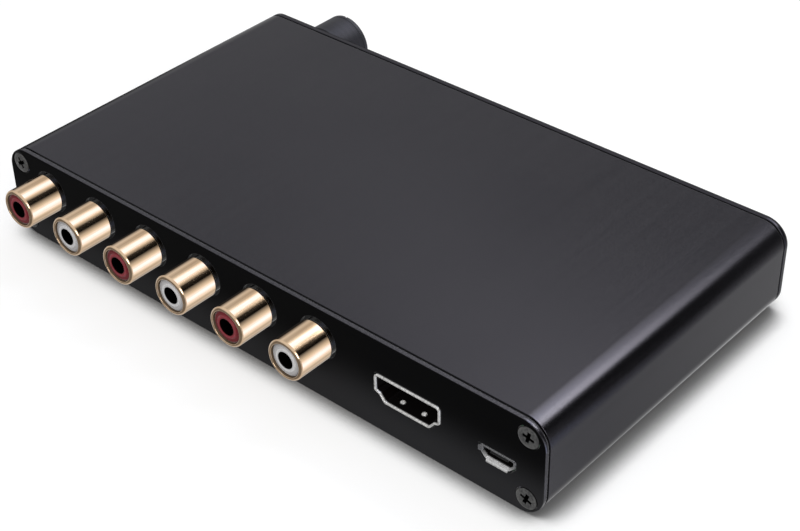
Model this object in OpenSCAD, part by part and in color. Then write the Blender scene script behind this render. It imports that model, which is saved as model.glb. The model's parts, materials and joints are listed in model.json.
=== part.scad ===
// Audio extractor box: an extruded sleeve between two end plates, a circuit board in
// its slots, six coaxial jacks, two video sockets and the controls of the front plate.
// Millimetres. Origin under the middle of the box, +Z up, jacks towards -Y.

/* [Case] */
// Depth of the case over both end plates
case_d = 75.8; // [66:0.1:120]
// Wall of the extruded sleeve
wall_t = 1.4; // [1:0.1:2]
// Outer radius of the four long edges
edge_r = 5; // [3.5:0.1:5.5]
// Width of the shallow rebate round each end of the sleeve
seam_w = 0.4; // [0.2:0.1:1]
// Depth of that rebate
seam_depth = 0.4; // [0.2:0.1:0.8]
// Free height between the tallest part on the board and the roof
roof_gap = 0.3; // [0.2:0.1:6]
// Width of the slot rails that carry the board
rail_w = 1.6; // [1:0.1:2.4]
// Thickness of a slot rail
rail_t = 0.9; // [0.7:0.1:1.2]

/* [End plates] */
// Thickness of an end plate
plate_t = 1.1; // [0.9:0.1:2]
// Gap round a socket in its cut-out
cutout_gap = 0.2; // [0.1:0.05:0.4]
// Gap round a round part in its hole
hole_gap = 0.1; // [0.05:0.05:0.3]

/* [End plate screws] */
// From the side of the case to a screw's axis
screw_side_inset = 3.5; // [3.3:0.1:4]
// From the top or the underside of the case to a screw's axis
screw_edge_inset = 3.2; // [3.1:0.1:4]
// Radius of the screw's head
screw_head_r = 2.2; // [1.8:0.05:2.4]
// How far the head's crown stands out of the plate
screw_head_proud = 0.15; // [0.05:0.05:0.4]
// Radius of the screw's shank
screw_shank_r = 1.2; // [0.9:0.05:1.3]
// Length of the screw under the plate's outer face
screw_l = 7; // [4:0.5:12]
// Radial gap between a screw and its port or seat
screw_gap = 0.03; // [0.01:0.01:0.1]
// Wall of the screw port round the screw
port_wall = 0.87; // [0.6:0.01:1.2]
// Width of the cross recess
recess_w = 0.9; // [0.4:0.05:1]
// Span of the cross recess
recess_span = 2.9; // [2:0.1:3.1]
// Depth of the cross recess
recess_depth = 0.7; // [0.4:0.05:0.8]

/* [Circuit board] */
// Thickness of the board
board_t = 1.6; // [1:0.1:2]
// Play of the board in its slots, above and below
slot_play = 0.1; // [0.05:0.05:0.3]
// Play of the board between the side walls and the end plates
board_play = 0.3; // [0.1:0.05:0.6]

/* [Jack row] */
// From a screw port to the first jack's housing
jack_side_gap = 1; // [0.5:0.1:20]
// Distance from jack to jack
jack_pitch = 14.75; // [12.5:0.05:20]
// Height of the jacks' axis above the board
jack_axis_h = 6.4; // [5.2:0.1:6.6]
// Outer radius of a jack's barrel
jack_barrel_r = 4.15; // [3.9:0.05:4.6]
// Wall of the barrel
jack_wall = 0.7; // [0.5:0.05:0.9]
// Radius of the rounded mouth
jack_lip_r = 0.6; // [0.3:0.05:0.65]
// How far a barrel stands out of the plate
jack_proud = 8.5; // [6:0.1:12]
// Gap round a barrel in the plate
jack_hole_gap = 0.35; // [0.1:0.05:0.6]
// Step from the barrel down to its seat in the housing
jack_seat_step = 0.3; // [0.2:0.05:0.35]
// Length of the stepped root that shows in front of the plate
jack_root = 0.2; // [0.1:0.05:0.5]
// Depth of the barrel's seat in the housing
jack_seat_d = 2; // [1.2:0.1:2.8]
// Radius of the hole for the plug's centre pin
jack_bore_r = 1.7; // [1.6:0.05:1.9]
// Recess of the insulator's face behind the mouth
jack_face_recess = 0.25; // [0.1:0.05:0.8]
// Chamfer on the insulator's rim
jack_face_chamfer = 0.3; // [0.1:0.05:0.5]
// Width of the raised collar round the pin's hole
jack_collar_w = 0.65; // [0.4:0.05:0.9]
// Height of that collar over the rest of the insulator's face
jack_collar_h = 0.2; // [0.1:0.05:0.4]
// Length of the insulator behind the plate
jack_insulator_back = 4; // [3.2:0.1:5]
// Width of a jack's housing
jack_housing_w = 11; // [9.8:0.1:12]
// Height of a jack's housing
jack_housing_h = 11.4; // [11.3:0.1:16]
// Depth of a jack's housing
jack_housing_d = 9.5; // [7.5:0.1:11]
// Chamfer along the upper edges of a jack's housing
jack_housing_chamfer = 1; // [0.5:0.1:1.8]
// Thickness of the sheet that contacts and lugs are bent from
contact_t = 0.35; // [0.2:0.05:0.5]
// Extra radius of the centre contact's tube over the insulator's hole
contact_ease = 0.3; // [0.2:0.05:0.35]
// Width of a barrel's solder lug
jack_lug_w = 2.4; // [1.5:0.1:3]
// Width of a centre contact's tail
jack_tail_w = 1.2; // [0.8:0.1:1.6]
// Gap of a pressed or moulded-in piece in its seat
seat_gap = 0.02; // [0.01:0.01:0.03]

/* [Video sockets] */
// From the last jack to the output socket
video_out_gap = 21.2; // [16:0.1:40]
// From the side of the case to the input socket
video_in_side_gap = 22.4; // [14.2:0.1:26]
// Width of a video socket's shell
video_w = 15; // [14.5:0.1:15.6]
// Height of a video socket's shell
video_h = 5.8; // [5.5:0.1:6.5]
// Depth of a video socket
video_d = 11.5; // [9:0.1:14]
// Sheet thickness of the shell
video_shell_t = 0.4; // [0.25:0.05:0.5]
// Radius of the shell's upper corners
video_corner_r = 0.9; // [0.6:0.05:1.2]
// How far the shell's rim stands out of the plate
video_proud = 0.3; // [0.1:0.05:0.6]
// Width of the tongue
video_tongue_w = 11; // [9.5:0.1:12]
// Thickness of the tongue
video_tongue_t = 1.6; // [1.2:0.05:2]
// Height of the tongue's underside above the shell's floor
video_tongue_h = 2.3; // [1.8:0.05:2.6]
// Recess of the tongue behind the plate's face
video_tongue_recess = 2.4; // [1:0.1:4]
// Pitch of the contacts on one side of the tongue
video_contact_pitch = 1; // [0.8:0.05:1.05]
// Width of one contact
video_contact_w = 0.4; // [0.3:0.05:0.5]
// Thickness of one contact
video_contact_t = 0.12; // [0.08:0.01:0.18]
// Distance between the two spring bumps on the floor
video_bump_pitch = 4.9; // [3:0.1:6]
// Radius of a spring bump
video_bump_r = 0.55; // [0.4:0.05:0.7]
// Height of a spring bump
video_bump_h = 0.4; // [0.2:0.05:0.5]
// Depth of the bumps behind the plate's face
video_bump_y = 1.7; // [1:0.1:1.75]

/* [Power socket] */
// From the output socket to the power socket
power_gap = 19.85; // [15:0.05:40]
// From the power socket to the side of the case
power_side_gap = 9.9; // [9.9:0.1:30]
// Width of the power socket's shell
power_w = 7.4; // [7:0.1:8]
// Height of the power socket's shell
power_h = 2.75; // [2.5:0.05:3]
// Depth of the power socket
power_d = 5.2; // [4.5:0.1:7]
// Sheet thickness of its shell
power_shell_t = 0.3; // [0.2:0.05:0.35]
// How far its lips flare
power_lip = 0.35; // [0.2:0.05:0.5]
// Depth over which they flare
power_lip_d = 0.6; // [0.4:0.05:0.8]
// Width of the tongue
power_tongue_w = 3.8; // [3:0.1:4.2]
// Thickness of the tongue
power_tongue_t = 0.6; // [0.5:0.05:0.7]
// Height of the tongue above the shell's floor
power_tongue_h = 1; // [0.8:0.05:1.1]
// Pitch of the five contacts
power_contact_pitch = 0.65; // [0.6:0.01:0.7]
// Width of a contact
power_contact_w = 0.3; // [0.2:0.01:0.4]

/* [Volume control] */
// From the side of the case to the knob's axis
knob_side_gap = 16.3; // [12.5:0.1:20]
// Height of the shaft's axis above the board
pot_axis_h = 6.5; // [6.1:0.1:6.6]
// Radius of the knob
knob_r = 6.4; // [5.5:0.1:6.6]
// Length of the knob
knob_l = 8; // [6:0.1:14]
// Gap between the knob and the plate
knob_gap = 0.5; // [0.3:0.05:1.5]
// Chamfer at the knob's outer end
knob_chamfer = 0.5; // [0.2:0.05:1]
// Thickness of the knob's closed end
knob_end_t = 1.5; // [1:0.1:2.5]
// From the knob's end to the ring groove round it
knob_ring_l = 1.1; // [1:0.05:2]
// Width of that groove
knob_ring_w = 0.3; // [0.2:0.05:0.5]
// Depth of that groove
knob_ring_depth = 0.15; // [0.05:0.01:0.25]
// Width of the raised rim round the knob's end face
knob_rim_w = 1.2; // [1:0.1:2]
// Depth of the end face inside that rim
knob_dish_depth = 0.12; // [0.05:0.01:0.3]
// Width of the pointer groove
pointer_w = 0.7; // [0.4:0.05:1.2]
// Depth of the pointer groove
pointer_depth = 0.35; // [0.2:0.05:0.8]
// Radius at which the pointer groove starts
pointer_start_r = 2.6; // [1:0.1:4]
// Radius of the shaft
shaft_r = 3; // [2.5:0.05:3.1]
// Depth of the flat on the shaft
shaft_flat = 1.5; // [0.8:0.1:2]
// Radial running gap of the shaft in its bush
shaft_gap = 0.03; // [0.02:0.01:0.08]
// Wall of the bush round the shaft
bush_wall = 0.5; // [0.4:0.05:0.6]
// How far the bush stands out of the plate
bush_proud = 0.9; // [0.5:0.05:1]
// Width of the potentiometer's case
pot_w = 9.8; // [9.6:0.1:12]
// Depth of the potentiometer's case
pot_d = 6.6; // [5:0.1:10]
// Height of the potentiometer's case
pot_h = 11.2; // [11:0.1:16]
// Wall of the potentiometer's case in front of and behind the rotor
pot_wall = 1.2; // [0.8:0.1:1.5]
// Radius of the rotor
rotor_r = 3.95; // [3.4:0.05:4.1]
// Thickness of the rotor
rotor_t = 1.6; // [1:0.1:2.2]
// Free space round the rotor
rotor_gap = 0.35; // [0.3:0.05:0.4]

/* [Headphone socket] */
// From the knob to the headphone socket
phones_gap = 17.6; // [13:0.1:20]
// Height of its axis above the board
phones_axis_h = 3.4; // [3.2:0.1:5]
// Radius of its bore
phones_bore_r = 1.8; // [1.7:0.05:1.9]
// Depth of its bore
phones_bore_d = 14; // [13:0.1:15]
// Radius of its round nose
phones_nose_r = 3; // [2.6:0.05:3.1]
// How far its nose stands out of the plate
phones_proud = 0.4; // [0.1:0.05:1]
// Width of its body
phones_w = 7; // [6.4:0.1:9]
// Height of its body
phones_h = 6.6; // [6.2:0.1:9]
// Depth of its body
phones_d = 14; // [14:0.1:16]

/* [Mode switch] */
// From the headphone socket to the switch
switch_gap = 17.5; // [12:0.1:18]
// Length of the switch's frame
switch_w = 10.4; // [9.9:0.1:12]
// Depth of the frame
switch_d = 4.4; // [4:0.1:6]
// Height of the frame
switch_h = 4.4; // [4:0.1:6]
// Wall of the frame
switch_wall = 0.5; // [0.4:0.05:0.6]
// Travel of the lever to each side
switch_travel = 2; // [1.5:0.1:2.2]
// Width of the lever's carriage
carriage_w = 4.4; // [3.6:0.1:4.6]
// Sliding gap of the carriage in the frame
carriage_gap = 0.1; // [0.05:0.01:0.15]
// Width and height of the lever
lever_w = 1.8; // [1.5:0.1:2.2]
// How far the lever stands out of the plate
lever_proud = 1.8; // [1:0.1:3]
// Width of the finger ridges on the lever's end
lever_ridge_w = 0.32; // [0.2:0.01:0.35]
// Height of those ridges
lever_ridge_h = 0.15; // [0.05:0.05:0.3]
// Distance from ridge to ridge
lever_ridge_pitch = 0.55; // [0.45:0.01:0.58]
// Free space round the lever in its slot
lever_gap = 0.25; // [0.15:0.05:0.4]

/* [Status lights] */
// From the switch to the first light
light_gap = 12.5; // [9:0.1:14]
// Distance from light to light
light_pitch = 5.5; // [4.5:0.1:6]
// Radius of a light
light_r = 1.5; // [1.2:0.05:1.6]
// Radius of its flange
light_flange_r = 1.9; // [1.7:0.05:2.1]
// Thickness of its flange
light_flange_t = 1; // [0.6:0.1:1.5]
// Length of its body behind the plate
light_back = 2.8; // [2:0.1:4]
// How far the dome stands out of the plate
light_proud = 0.9; // [0.4:0.05:1]
// Height of its axis above the board
light_axis_h = 3.2; // [2.4:0.1:5]
// Thickness of a lead
lead_t = 0.45; // [0.3:0.05:0.5]
// Distance between the two leads of a light
lead_pitch = 1.27; // [1:0.01:1.5]

/* [Optical socket] */
// From the input socket to the optical socket
optical_gap = 22; // [17:0.1:24]
// Width of its body
optical_w = 9.7; // [9.4:0.1:11]
// Height of its body
optical_h = 9.9; // [9.8:0.1:12]
// Depth of its body
optical_d = 13.5; // [13:0.1:16]
// Width of its square mouth
mouth_w = 6.2; // [6:0.05:6.6]
// Height of its mouth
mouth_h = 6; // [5.8:0.05:6.1]
// Height of the mouth's sill above the board
mouth_sill = 2.2; // [1.6:0.1:2.25]
// Depth of the chamber behind the mouth
chamber_d = 8.2; // [8:0.1:9]
// Thickness of the front lip over the shutter's hinge
mouth_lip = 0.5; // [0.3:0.05:0.6]
// Thickness of the shutter
shutter_t = 0.8; // [0.6:0.05:0.9]
// Free space round the shutter
shutter_gap = 0.1; // [0.06:0.01:0.15]
// Height of the stiffening ribs on the shutter's face
shutter_rib_h = 0.1; // [0.05:0.05:0.15]
// Width of those ribs
shutter_rib_w = 0.35; // [0.2:0.05:0.6]
// Radius of the shutter's hinge pins
shutter_pin_r = 0.35; // [0.25:0.01:0.35]
// Length of each hinge pin
shutter_pin_l = 0.9; // [0.6:0.05:1.2]
// Running gap of a hinge pin in its hole
shutter_pin_gap = 0.03; // [0.02:0.01:0.06]
// Radius of the hole for the plug's ferrule
ferrule_r = 1.25; // [1.1:0.05:1.4]
// Length of the ferrule's hole
ferrule_d = 2.6; // [2:0.1:3]
// Width and height of the light source
emitter_w = 4.4; // [3.6:0.1:5]
// Depth of the light source
emitter_d = 2.2; // [1.6:0.1:2.6]

/* [Board parts] */
// Free board between the socket rows and the parts
field_gap = 1; // [0.5:0.1:2]
// Side of the picture chip
video_chip_w = 14; // [10:0.5:16]
// Side of the audio chip
audio_chip_w = 12; // [8:0.5:16]
// Thickness of the chips
chip_t = 1.4; // [0.8:0.1:2]
// Radius of the round mark at a chip's first lead
chip_dot_r = 0.5; // [0.3:0.05:0.6]
// Depth of that mark
chip_dot_depth = 0.1; // [0.05:0.01:0.2]
// Clearance of a chip above the board
chip_foot = 0.1; // [0.05:0.01:0.2]
// Spread of the leads beyond a chip's body
chip_lead_l = 1; // [0.6:0.1:1.4]
// Width of a chip lead
chip_lead_w = 0.4; // [0.25:0.05:0.5]
// Thickness of a chip lead
chip_lead_t = 0.2; // [0.12:0.01:0.3]
// Pitch of the leads
chip_lead_pitch = 1.27; // [0.8:0.01:1.4]
// Length of a small chip
small_chip_l = 6.5; // [5:0.1:8]
// Width of a small chip
small_chip_w = 4.4; // [3.5:0.1:5.5]
// Radius of a capacitor's can
can_r = 2.5; // [2:0.05:3]
// Height of a capacitor's can
can_h = 5.4; // [4:0.1:9]
// Height of its square base
can_base_h = 1; // [0.6:0.1:1.5]
// Side of its square base
can_base_w = 5.4; // [5.1:0.1:6.4]
// Cut at two corners of its base
can_base_cut = 1.1; // [0.5:0.1:1.3]
// Height of the crimped groove above the base
can_groove_h = 0.5; // [0.3:0.05:0.8]
// Depth of the crimped groove
can_groove_depth = 0.25; // [0.1:0.05:0.4]
// Length of a crystal's can
crystal_l = 10; // [8:0.1:12]
// Width of a crystal's can
crystal_w = 4; // [3:0.1:4.6]
// Height of a crystal's can
crystal_h = 3.4; // [2.5:0.1:5]
// Reach of the flange round a crystal's foot
crystal_flange_w = 0.4; // [0.2:0.05:0.6]
// Thickness of that flange
crystal_flange_t = 0.5; // [0.3:0.05:0.8]
// Side of the inductor
inductor_w = 7; // [5:0.1:9]
// Height of the inductor
inductor_h = 4; // [2.5:0.1:6]
// Length of a voltage regulator
regulator_l = 6.5; // [5:0.1:8]
// Width of a voltage regulator
regulator_w = 3.5; // [3:0.1:5]

/* [Hidden] */
jack_count = 6;
light_count = 3;
$fn = 64;

// Overrun of a cut past the face that it opens
over = 1;

// Heights, from the underside up
port_r = screw_shank_r + screw_gap + port_wall;
board_z = screw_edge_inset + port_r + slot_play;
board_top = board_z + board_t;
tallest = max(jack_housing_h, pot_h, optical_h, can_h);
case_h = board_top + tallest + roof_gap + wall_t;

// Places along the width: the rear row of sockets sets the width of the case
port_reach = screw_side_inset + port_r;
first_jack_inset = port_reach + jack_side_gap + jack_housing_w / 2;
jack_row_l = (jack_count - 1) * jack_pitch;
case_w = first_jack_inset + jack_row_l + video_out_gap + power_gap + power_side_gap;
first_jack_x = -case_w / 2 + first_jack_inset;
video_out_x = first_jack_x + jack_row_l + video_out_gap;
power_x = video_out_x + power_gap;
knob_x = -case_w / 2 + knob_side_gap;
phones_x = knob_x + phones_gap;
switch_x = phones_x + switch_gap;
first_light_x = switch_x + light_gap;
video_in_x = case_w / 2 - video_in_side_gap;
optical_x = video_in_x - optical_gap;

// Places along the depth: the barrels and the knob share the box's two ends
knob_proud = knob_gap + knob_l;
rear_face_y = (jack_proud - knob_proud - case_d) / 2;
front_face_y = rear_face_y + case_d;

board_w = case_w - 2 * (wall_t + board_play);
board_l = case_d - 2 * (plate_t + board_play);

// The board's free field, between the jack housings and the optical socket
field_w = board_w;
field_y0 = rear_face_y + plate_t + jack_housing_d + contact_t + field_gap;
field_d = front_face_y - optical_d - field_gap - field_y0;

// Places of the board's parts, as shares of the free field from its middle and rear edge
video_chip_shares = [0.27, 0.5];
audio_chip_shares = [0, 0.6];
memory_chip_shares = [0.13, 0.86];
converter_shares = [[-0.37, 0.3], [-0.15, 0.3], [0.07, 0.26]];
crystal_shares = [[0.14, 0.34], [-0.13, 0.62]];
inductor_shares = [0.42, 0.24];
regulator_shares = [[0.42, 0.5], [-0.33, 0.66]];
can_row_share = 0.09;

// Radius of the inductor's core, as a share of its side
core_share = 0.36;
// Places of the headphone contacts, as shares of the socket's depth
phones_contact_shares = [0.25, 0.75];

// Outline of a video socket below its straight sides, as shares of its width and height
video_side_shares = [[0.5, 0.344], [0.427, 0.28], [0.38, 0.115], [0.34, 0]];
// Outline of the power socket, the same way
power_side_shares = [[0.5, 1], [0.5, 0.46], [0.34, 0]];
// How far its upper and lower lips reach from the middle, as shares of its width
top_lip_share = 0.44;
floor_lip_share = 0.31;
// Ends of its side lips, as shares of its height
side_lip_shares = [0.9, 0.5];
// Heights of the shutter's ribs, as shares of the mouth's height
shutter_rib_shares = [0.18, 0.82];
// Place of a chip's mark in from its corner, as a share of the chip's width
chip_dot_share = 0.14;
// How deep the conical seat of a screw goes into its plate, and the crown's edge
head_depth_share = 0.93;
crown_share = 0.82;

// Draws a flat outline in X and Z and stretches it from y0 to y1
module slab(y0, y1) {
    translate([0, y1, 0]) rotate([90, 0, 0]) linear_extrude(y1 - y0) children();
}

// A round bar along Y; r1 at y0 and r2 at y1
module bar(y0, y1, r1, r2) {
    translate([0, y0, 0]) rotate([-90, 0, 0]) cylinder(h = y1 - y0, r1 = r1, r2 = is_undef(r2) ? r1 : r2);
}

// Turns an outline of radius and depth round the Y axis
module turned() {
    rotate([-90, 0, 0]) rotate_extrude() children();
}

// A block by its width about X = 0, and its ranges along Y and Z
module block(w, y0, y1, z0, z1) {
    translate([-w / 2, y0, z0]) cube([w, y1 - y0, z1 - z0]);
}

// Flat rectangle about X = 0 and upwards from 0, with round corners
module rounded_rect(w, h, r) {
    union() {
        translate([-w / 2, r]) square([w, h - 2 * r]);
        translate([-w / 2 + r, 0]) square([w - 2 * r, h]);
        for (x = [-w / 2 + r, w / 2 - r]) for (z = [r, h - r]) translate([x, z]) circle(r);
    }
}

// Socket frames: y = 0 is the plate's outer face, +y goes inwards, z = 0 is the board
module at_rear(x) {
    translate([x, rear_face_y, board_top]) children();
}

module at_front(x) {
    translate([x, front_face_y, board_top]) rotate([0, 0, 180]) children();
}

module at_jack(i) {
    at_rear(first_jack_x + (i - 1) * jack_pitch) translate([0, 0, jack_axis_h]) children();
}

module at_lights() {
    for (i = [0:light_count - 1]) at_front(first_light_x + i * light_pitch)
        translate([0, 0, light_axis_h]) children();
}

// The four screw axes, in an end plate's own frame
module at_screws() {
    for (x = [-1, 1]) for (z = [screw_edge_inset, case_h - screw_edge_inset])
        translate([x * (case_w / 2 - screw_side_inset), 0, z]) children();
}

module rear_frame() {
    translate([0, rear_face_y, 0]) children();
}

module front_frame() {
    translate([0, front_face_y, 0]) rotate([0, 0, 180]) children();
}

// Case

module sleeve_rails() {
    for (side = [-1, 1]) for (z = [board_z - slot_play - rail_t, board_top + slot_play])
        translate([side * (case_w / 2 - (wall_t + rail_w) / 2), z + rail_t / 2])
            square([wall_t + rail_w, rail_t], center = true);
}

module sleeve_profile() {
    difference() {
        union() {
            difference() {
                rounded_rect(case_w, case_h, edge_r);
                translate([0, wall_t])
                    rounded_rect(case_w - 2 * wall_t, case_h - 2 * wall_t, edge_r - wall_t);
            }
            sleeve_rails();
            for (x = [-1, 1]) for (z = [screw_edge_inset, case_h - screw_edge_inset])
                translate([x * (case_w / 2 - screw_side_inset), z]) circle(port_r);
        }
        for (x = [-1, 1]) for (z = [screw_edge_inset, case_h - screw_edge_inset])
            translate([x * (case_w / 2 - screw_side_inset), z]) circle(screw_shank_r + screw_gap);
    }
}

// The ring that the rebate takes off one end of the sleeve
module seam_ring() {
    difference() {
        translate([0, -over]) rounded_rect(case_w + 2 * over, case_h + 2 * over, edge_r + over);
        translate([0, seam_depth])
            rounded_rect(case_w - 2 * seam_depth, case_h - 2 * seam_depth, edge_r - seam_depth);
    }
}

module enclosure_sleeve() {
    y0 = rear_face_y + plate_t;
    y1 = front_face_y - plate_t;
    color("#3d3d41") difference() {
        slab(y0, y1) sleeve_profile();
        slab(y0 - over, y0 + seam_w) seam_ring();
        slab(y1 - seam_w, y1 + over) seam_ring();
    }
}

module plate_blank() {
    slab(0, plate_t) rounded_rect(case_w, case_h, edge_r);
}

module screw_seats() {
    at_screws() {
        bar(-over, plate_t + over, screw_shank_r + screw_gap);
        bar(0, plate_t * head_depth_share, screw_head_r + screw_gap, screw_shank_r + screw_gap);
        bar(-over, 0, screw_head_r + screw_gap);
    }
}

module rear_panel() {
    color("#19191b") rear_frame() difference() {
        plate_blank();
        screw_seats();
        for (i = [0:jack_count - 1])
            translate([first_jack_x + i * jack_pitch, 0, board_top + jack_axis_h])
                bar(-over, plate_t + over, jack_barrel_r + jack_hole_gap);
        translate([video_out_x, 0, board_top]) video_cutout();
        translate([power_x, 0, board_top]) power_cutout();
    }
}

// The front plate is drawn in its own frame, so places along X change sign
module front_panel() {
    color("#19191b") front_frame() difference() {
        plate_blank();
        screw_seats();
        translate([-knob_x, 0, board_top + pot_axis_h]) bar(-over, plate_t + over, bush_r + hole_gap);
        translate([-phones_x, 0, board_top + phones_axis_h])
            bar(-over, plate_t + over, phones_nose_r + hole_gap);
        translate([-switch_x, 0, board_top]) lever_slot(-over, plate_t + over);
        for (i = [0:light_count - 1])
            translate([-first_light_x - i * light_pitch, 0, board_top + light_axis_h])
                bar(-over, plate_t + over, light_r + hole_gap);
        translate([-optical_x, 0, board_top])
            block(optical_w + 2 * cutout_gap, -over, plate_t + over, -cutout_gap, optical_h + cutout_gap);
        translate([-video_in_x, 0, board_top]) video_cutout();
    }
}

module screw() {
    difference() {
        union() {
            bar(-screw_head_proud, 0, screw_head_r * crown_share, screw_head_r);
            bar(0, plate_t * head_depth_share, screw_head_r, screw_shank_r);
            bar(0, screw_l, screw_shank_r);
        }
        for (turn = [0, 90]) rotate([0, turn, 0])
            translate([-recess_span / 2, -over, -recess_w / 2])
                cube([recess_span, over + recess_depth - screw_head_proud, recess_w]);
    }
}

module rear_screws() {
    color("#55565a") rear_frame() at_screws() screw();
}

module front_screws() {
    color("#55565a") front_frame() at_screws() screw();
}

module circuit_board() {
    color("#14432b")
        translate([-board_w / 2, rear_face_y + plate_t + board_play, board_z])
            cube([board_w, board_l, board_t]);
}

// Jacks

jack_inner_r = jack_barrel_r - jack_wall;
jack_seat_r = jack_barrel_r - jack_seat_step;
jack_seat_end = plate_t + jack_seat_d;
jack_back = plate_t + jack_housing_d;
jack_insulator_end = plate_t + jack_insulator_back;
jack_contact_r = jack_bore_r + contact_ease + contact_t;

module barrel_profile() {
    mouth = -jack_proud;
    translate([jack_inner_r, mouth]) square([jack_wall - jack_lip_r, jack_seat_end - mouth]);
    translate([jack_inner_r, mouth + jack_lip_r])
        square([jack_wall, -jack_root - mouth - jack_lip_r]);
    translate([jack_inner_r, -jack_root])
        square([jack_seat_r - jack_inner_r, jack_seat_end + jack_root]);
    translate([jack_barrel_r - jack_lip_r, mouth + jack_lip_r]) circle(jack_lip_r);
}

module jack_shell(i) {
    color("#d9bf92") at_jack(i) {
        union() {
            turned() difference() {
                barrel_profile();
                translate([jack_inner_r - 2 * jack_lip_r, -jack_proud])
                    square([2 * jack_lip_r, 2 * jack_lip_r]);
            }
            block(jack_lug_w, plate_t, plate_t + contact_t, -jack_axis_h, -jack_inner_r - seat_gap);
        }
    }
}

module jack_insulator(i) {
    face = -jack_proud + jack_face_recess;
    rim_r = jack_inner_r - seat_gap;
    color(i % 2 == 1 ? "#8c2f38" : "#e6e2e0") at_jack(i) turned() polygon([
        [jack_bore_r, face],
        [jack_bore_r + jack_collar_w, face],
        [jack_bore_r + jack_collar_w, face + jack_collar_h],
        [rim_r - jack_face_chamfer, face + jack_collar_h],
        [rim_r, face + jack_collar_h + jack_face_chamfer],
        [rim_r, jack_insulator_end],
        [jack_bore_r, jack_insulator_end]
    ]);
}

module housing_outline() {
    w = jack_housing_w / 2;
    cut = jack_housing_chamfer;
    polygon([[-w, 0], [w, 0], [w, jack_housing_h - cut], [w - cut, jack_housing_h],
        [cut - w, jack_housing_h], [-w, jack_housing_h - cut]]);
}

module jack_housing(i) {
    color("#1d1d1f") at_jack(i) difference() {
        slab(plate_t, jack_back) translate([0, -jack_axis_h]) housing_outline();
        bar(plate_t - over, jack_seat_end, jack_seat_r + seat_gap);
        bar(plate_t - over, jack_insulator_end, jack_inner_r);
        bar(plate_t - over, jack_back + over, jack_contact_r + seat_gap);
        block(jack_lug_w + 2 * seat_gap, plate_t - over, plate_t + contact_t + seat_gap,
            -jack_axis_h - over, 0);
    }
}

module jack_contacts() {
    color("#c9b184") for (i = [1:jack_count]) at_jack(i) union() {
        difference() {
            bar(jack_insulator_end, jack_back + contact_t, jack_contact_r);
            bar(jack_insulator_end - over, jack_back + contact_t + over, jack_bore_r + contact_ease);
        }
        block(jack_tail_w, jack_back, jack_back + contact_t, -jack_axis_h, contact_t / 2 - jack_contact_r);
    }
}

// Video sockets

module video_outline(w, h, r) {
    right = [for (p = video_side_shares) [p[0] * w, p[1] * h]];
    left = [for (n = [len(right) - 1:-1:0]) [-right[n][0], right[n][1]]];
    polygon(concat([[w / 2, h - r]], right, left, [[-w / 2, h - r], [r - w / 2, h], [w / 2 - r, h]]));
    for (x = [r - w / 2, w / 2 - r]) translate([x, h - r]) circle(r);
}

module video_cutout() {
    slab(-over, plate_t + over) translate([0, -cutout_gap])
        video_outline(video_w + 2 * cutout_gap, video_h + 2 * cutout_gap, video_corner_r + cutout_gap);
}

module video_room() {
    translate([0, video_shell_t]) video_outline(
        video_w - 2 * video_shell_t, video_h - 2 * video_shell_t, video_corner_r - video_shell_t);
}

module video_shell() {
    union() {
        difference() {
            slab(-video_proud, video_d) video_outline(video_w, video_h, video_corner_r);
            slab(-video_proud - over, video_d - video_shell_t) video_room();
        }
        for (side = [-1, 1]) translate([side * video_bump_pitch / 2, video_bump_y, video_shell_t])
            cylinder(h = video_bump_h, r1 = video_bump_r, r2 = video_bump_r / 2);
    }
}

module video_tongue() {
    z0 = video_shell_t + video_tongue_h;
    block(video_tongue_w, video_tongue_recess, video_d - video_shell_t, z0, z0 + video_tongue_t);
}

// Two rows of contacts lie on the tongue's faces and reach its root
module video_contacts() {
    z0 = video_shell_t + video_tongue_h;
    rows = [[z0 - video_contact_t, 10], [z0 + video_tongue_t, 9]];
    for (row = rows) for (i = [0:row[1] - 1])
        translate([(i - (row[1] - 1) / 2) * video_contact_pitch, 0, 0])
            block(video_contact_w, video_tongue_recess + contact_t, video_d - video_shell_t,
                row[0], row[0] + video_contact_t);
}

module video_output_shell() {
    color("#c8c8cc") at_rear(video_out_x) video_shell();
}

module video_output_tongue() {
    color("#151516") at_rear(video_out_x) video_tongue();
}

module video_output_contacts() {
    color("#c9b184") at_rear(video_out_x) video_contacts();
}

module video_input_shell() {
    color("#c8c8cc") at_front(video_in_x) video_shell();
}

module video_input_tongue() {
    color("#151516") at_front(video_in_x) video_tongue();
}

module video_input_contacts() {
    color("#c9b184") at_front(video_in_x) video_contacts();
}

// Power socket

module power_outline(w, h) {
    right = [for (p = power_side_shares) [p[0] * w, p[1] * h]];
    left = [for (n = [len(right) - 1:-1:0]) [-right[n][0], right[n][1]]];
    polygon(concat(right, left));
}

module power_cutout() {
    grow = power_lip + cutout_gap;
    slab(-over, plate_t + over) translate([0, -grow]) power_outline(power_w + 2 * grow, power_h + 2 * grow);
}

// One flared lip along an edge from a to b of the socket's outline; it leans by [dx, dz]
module power_flare(a, b, lean) {
    t = power_shell_t;
    up = lean / norm(lean);
    root = [for (p = [a, b]) [p, p - up * t]];
    tip = [for (p = [a, b]) [p + up * power_lip, p + up * (power_lip - t)]];
    ring = [for (p = concat(root[0], [root[1][1], root[1][0]])) [p[0], power_lip_d, p[1]]];
    edge = [for (p = concat(tip[0], [tip[1][1], tip[1][0]])) [p[0], 0, p[1]]];
    polyhedron(
        points = concat(ring, edge),
        faces = [[0, 1, 2, 3], [7, 6, 5, 4], [0, 4, 5, 1], [1, 5, 6, 2], [2, 6, 7, 3], [3, 7, 4, 0]]
    );
}

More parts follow.
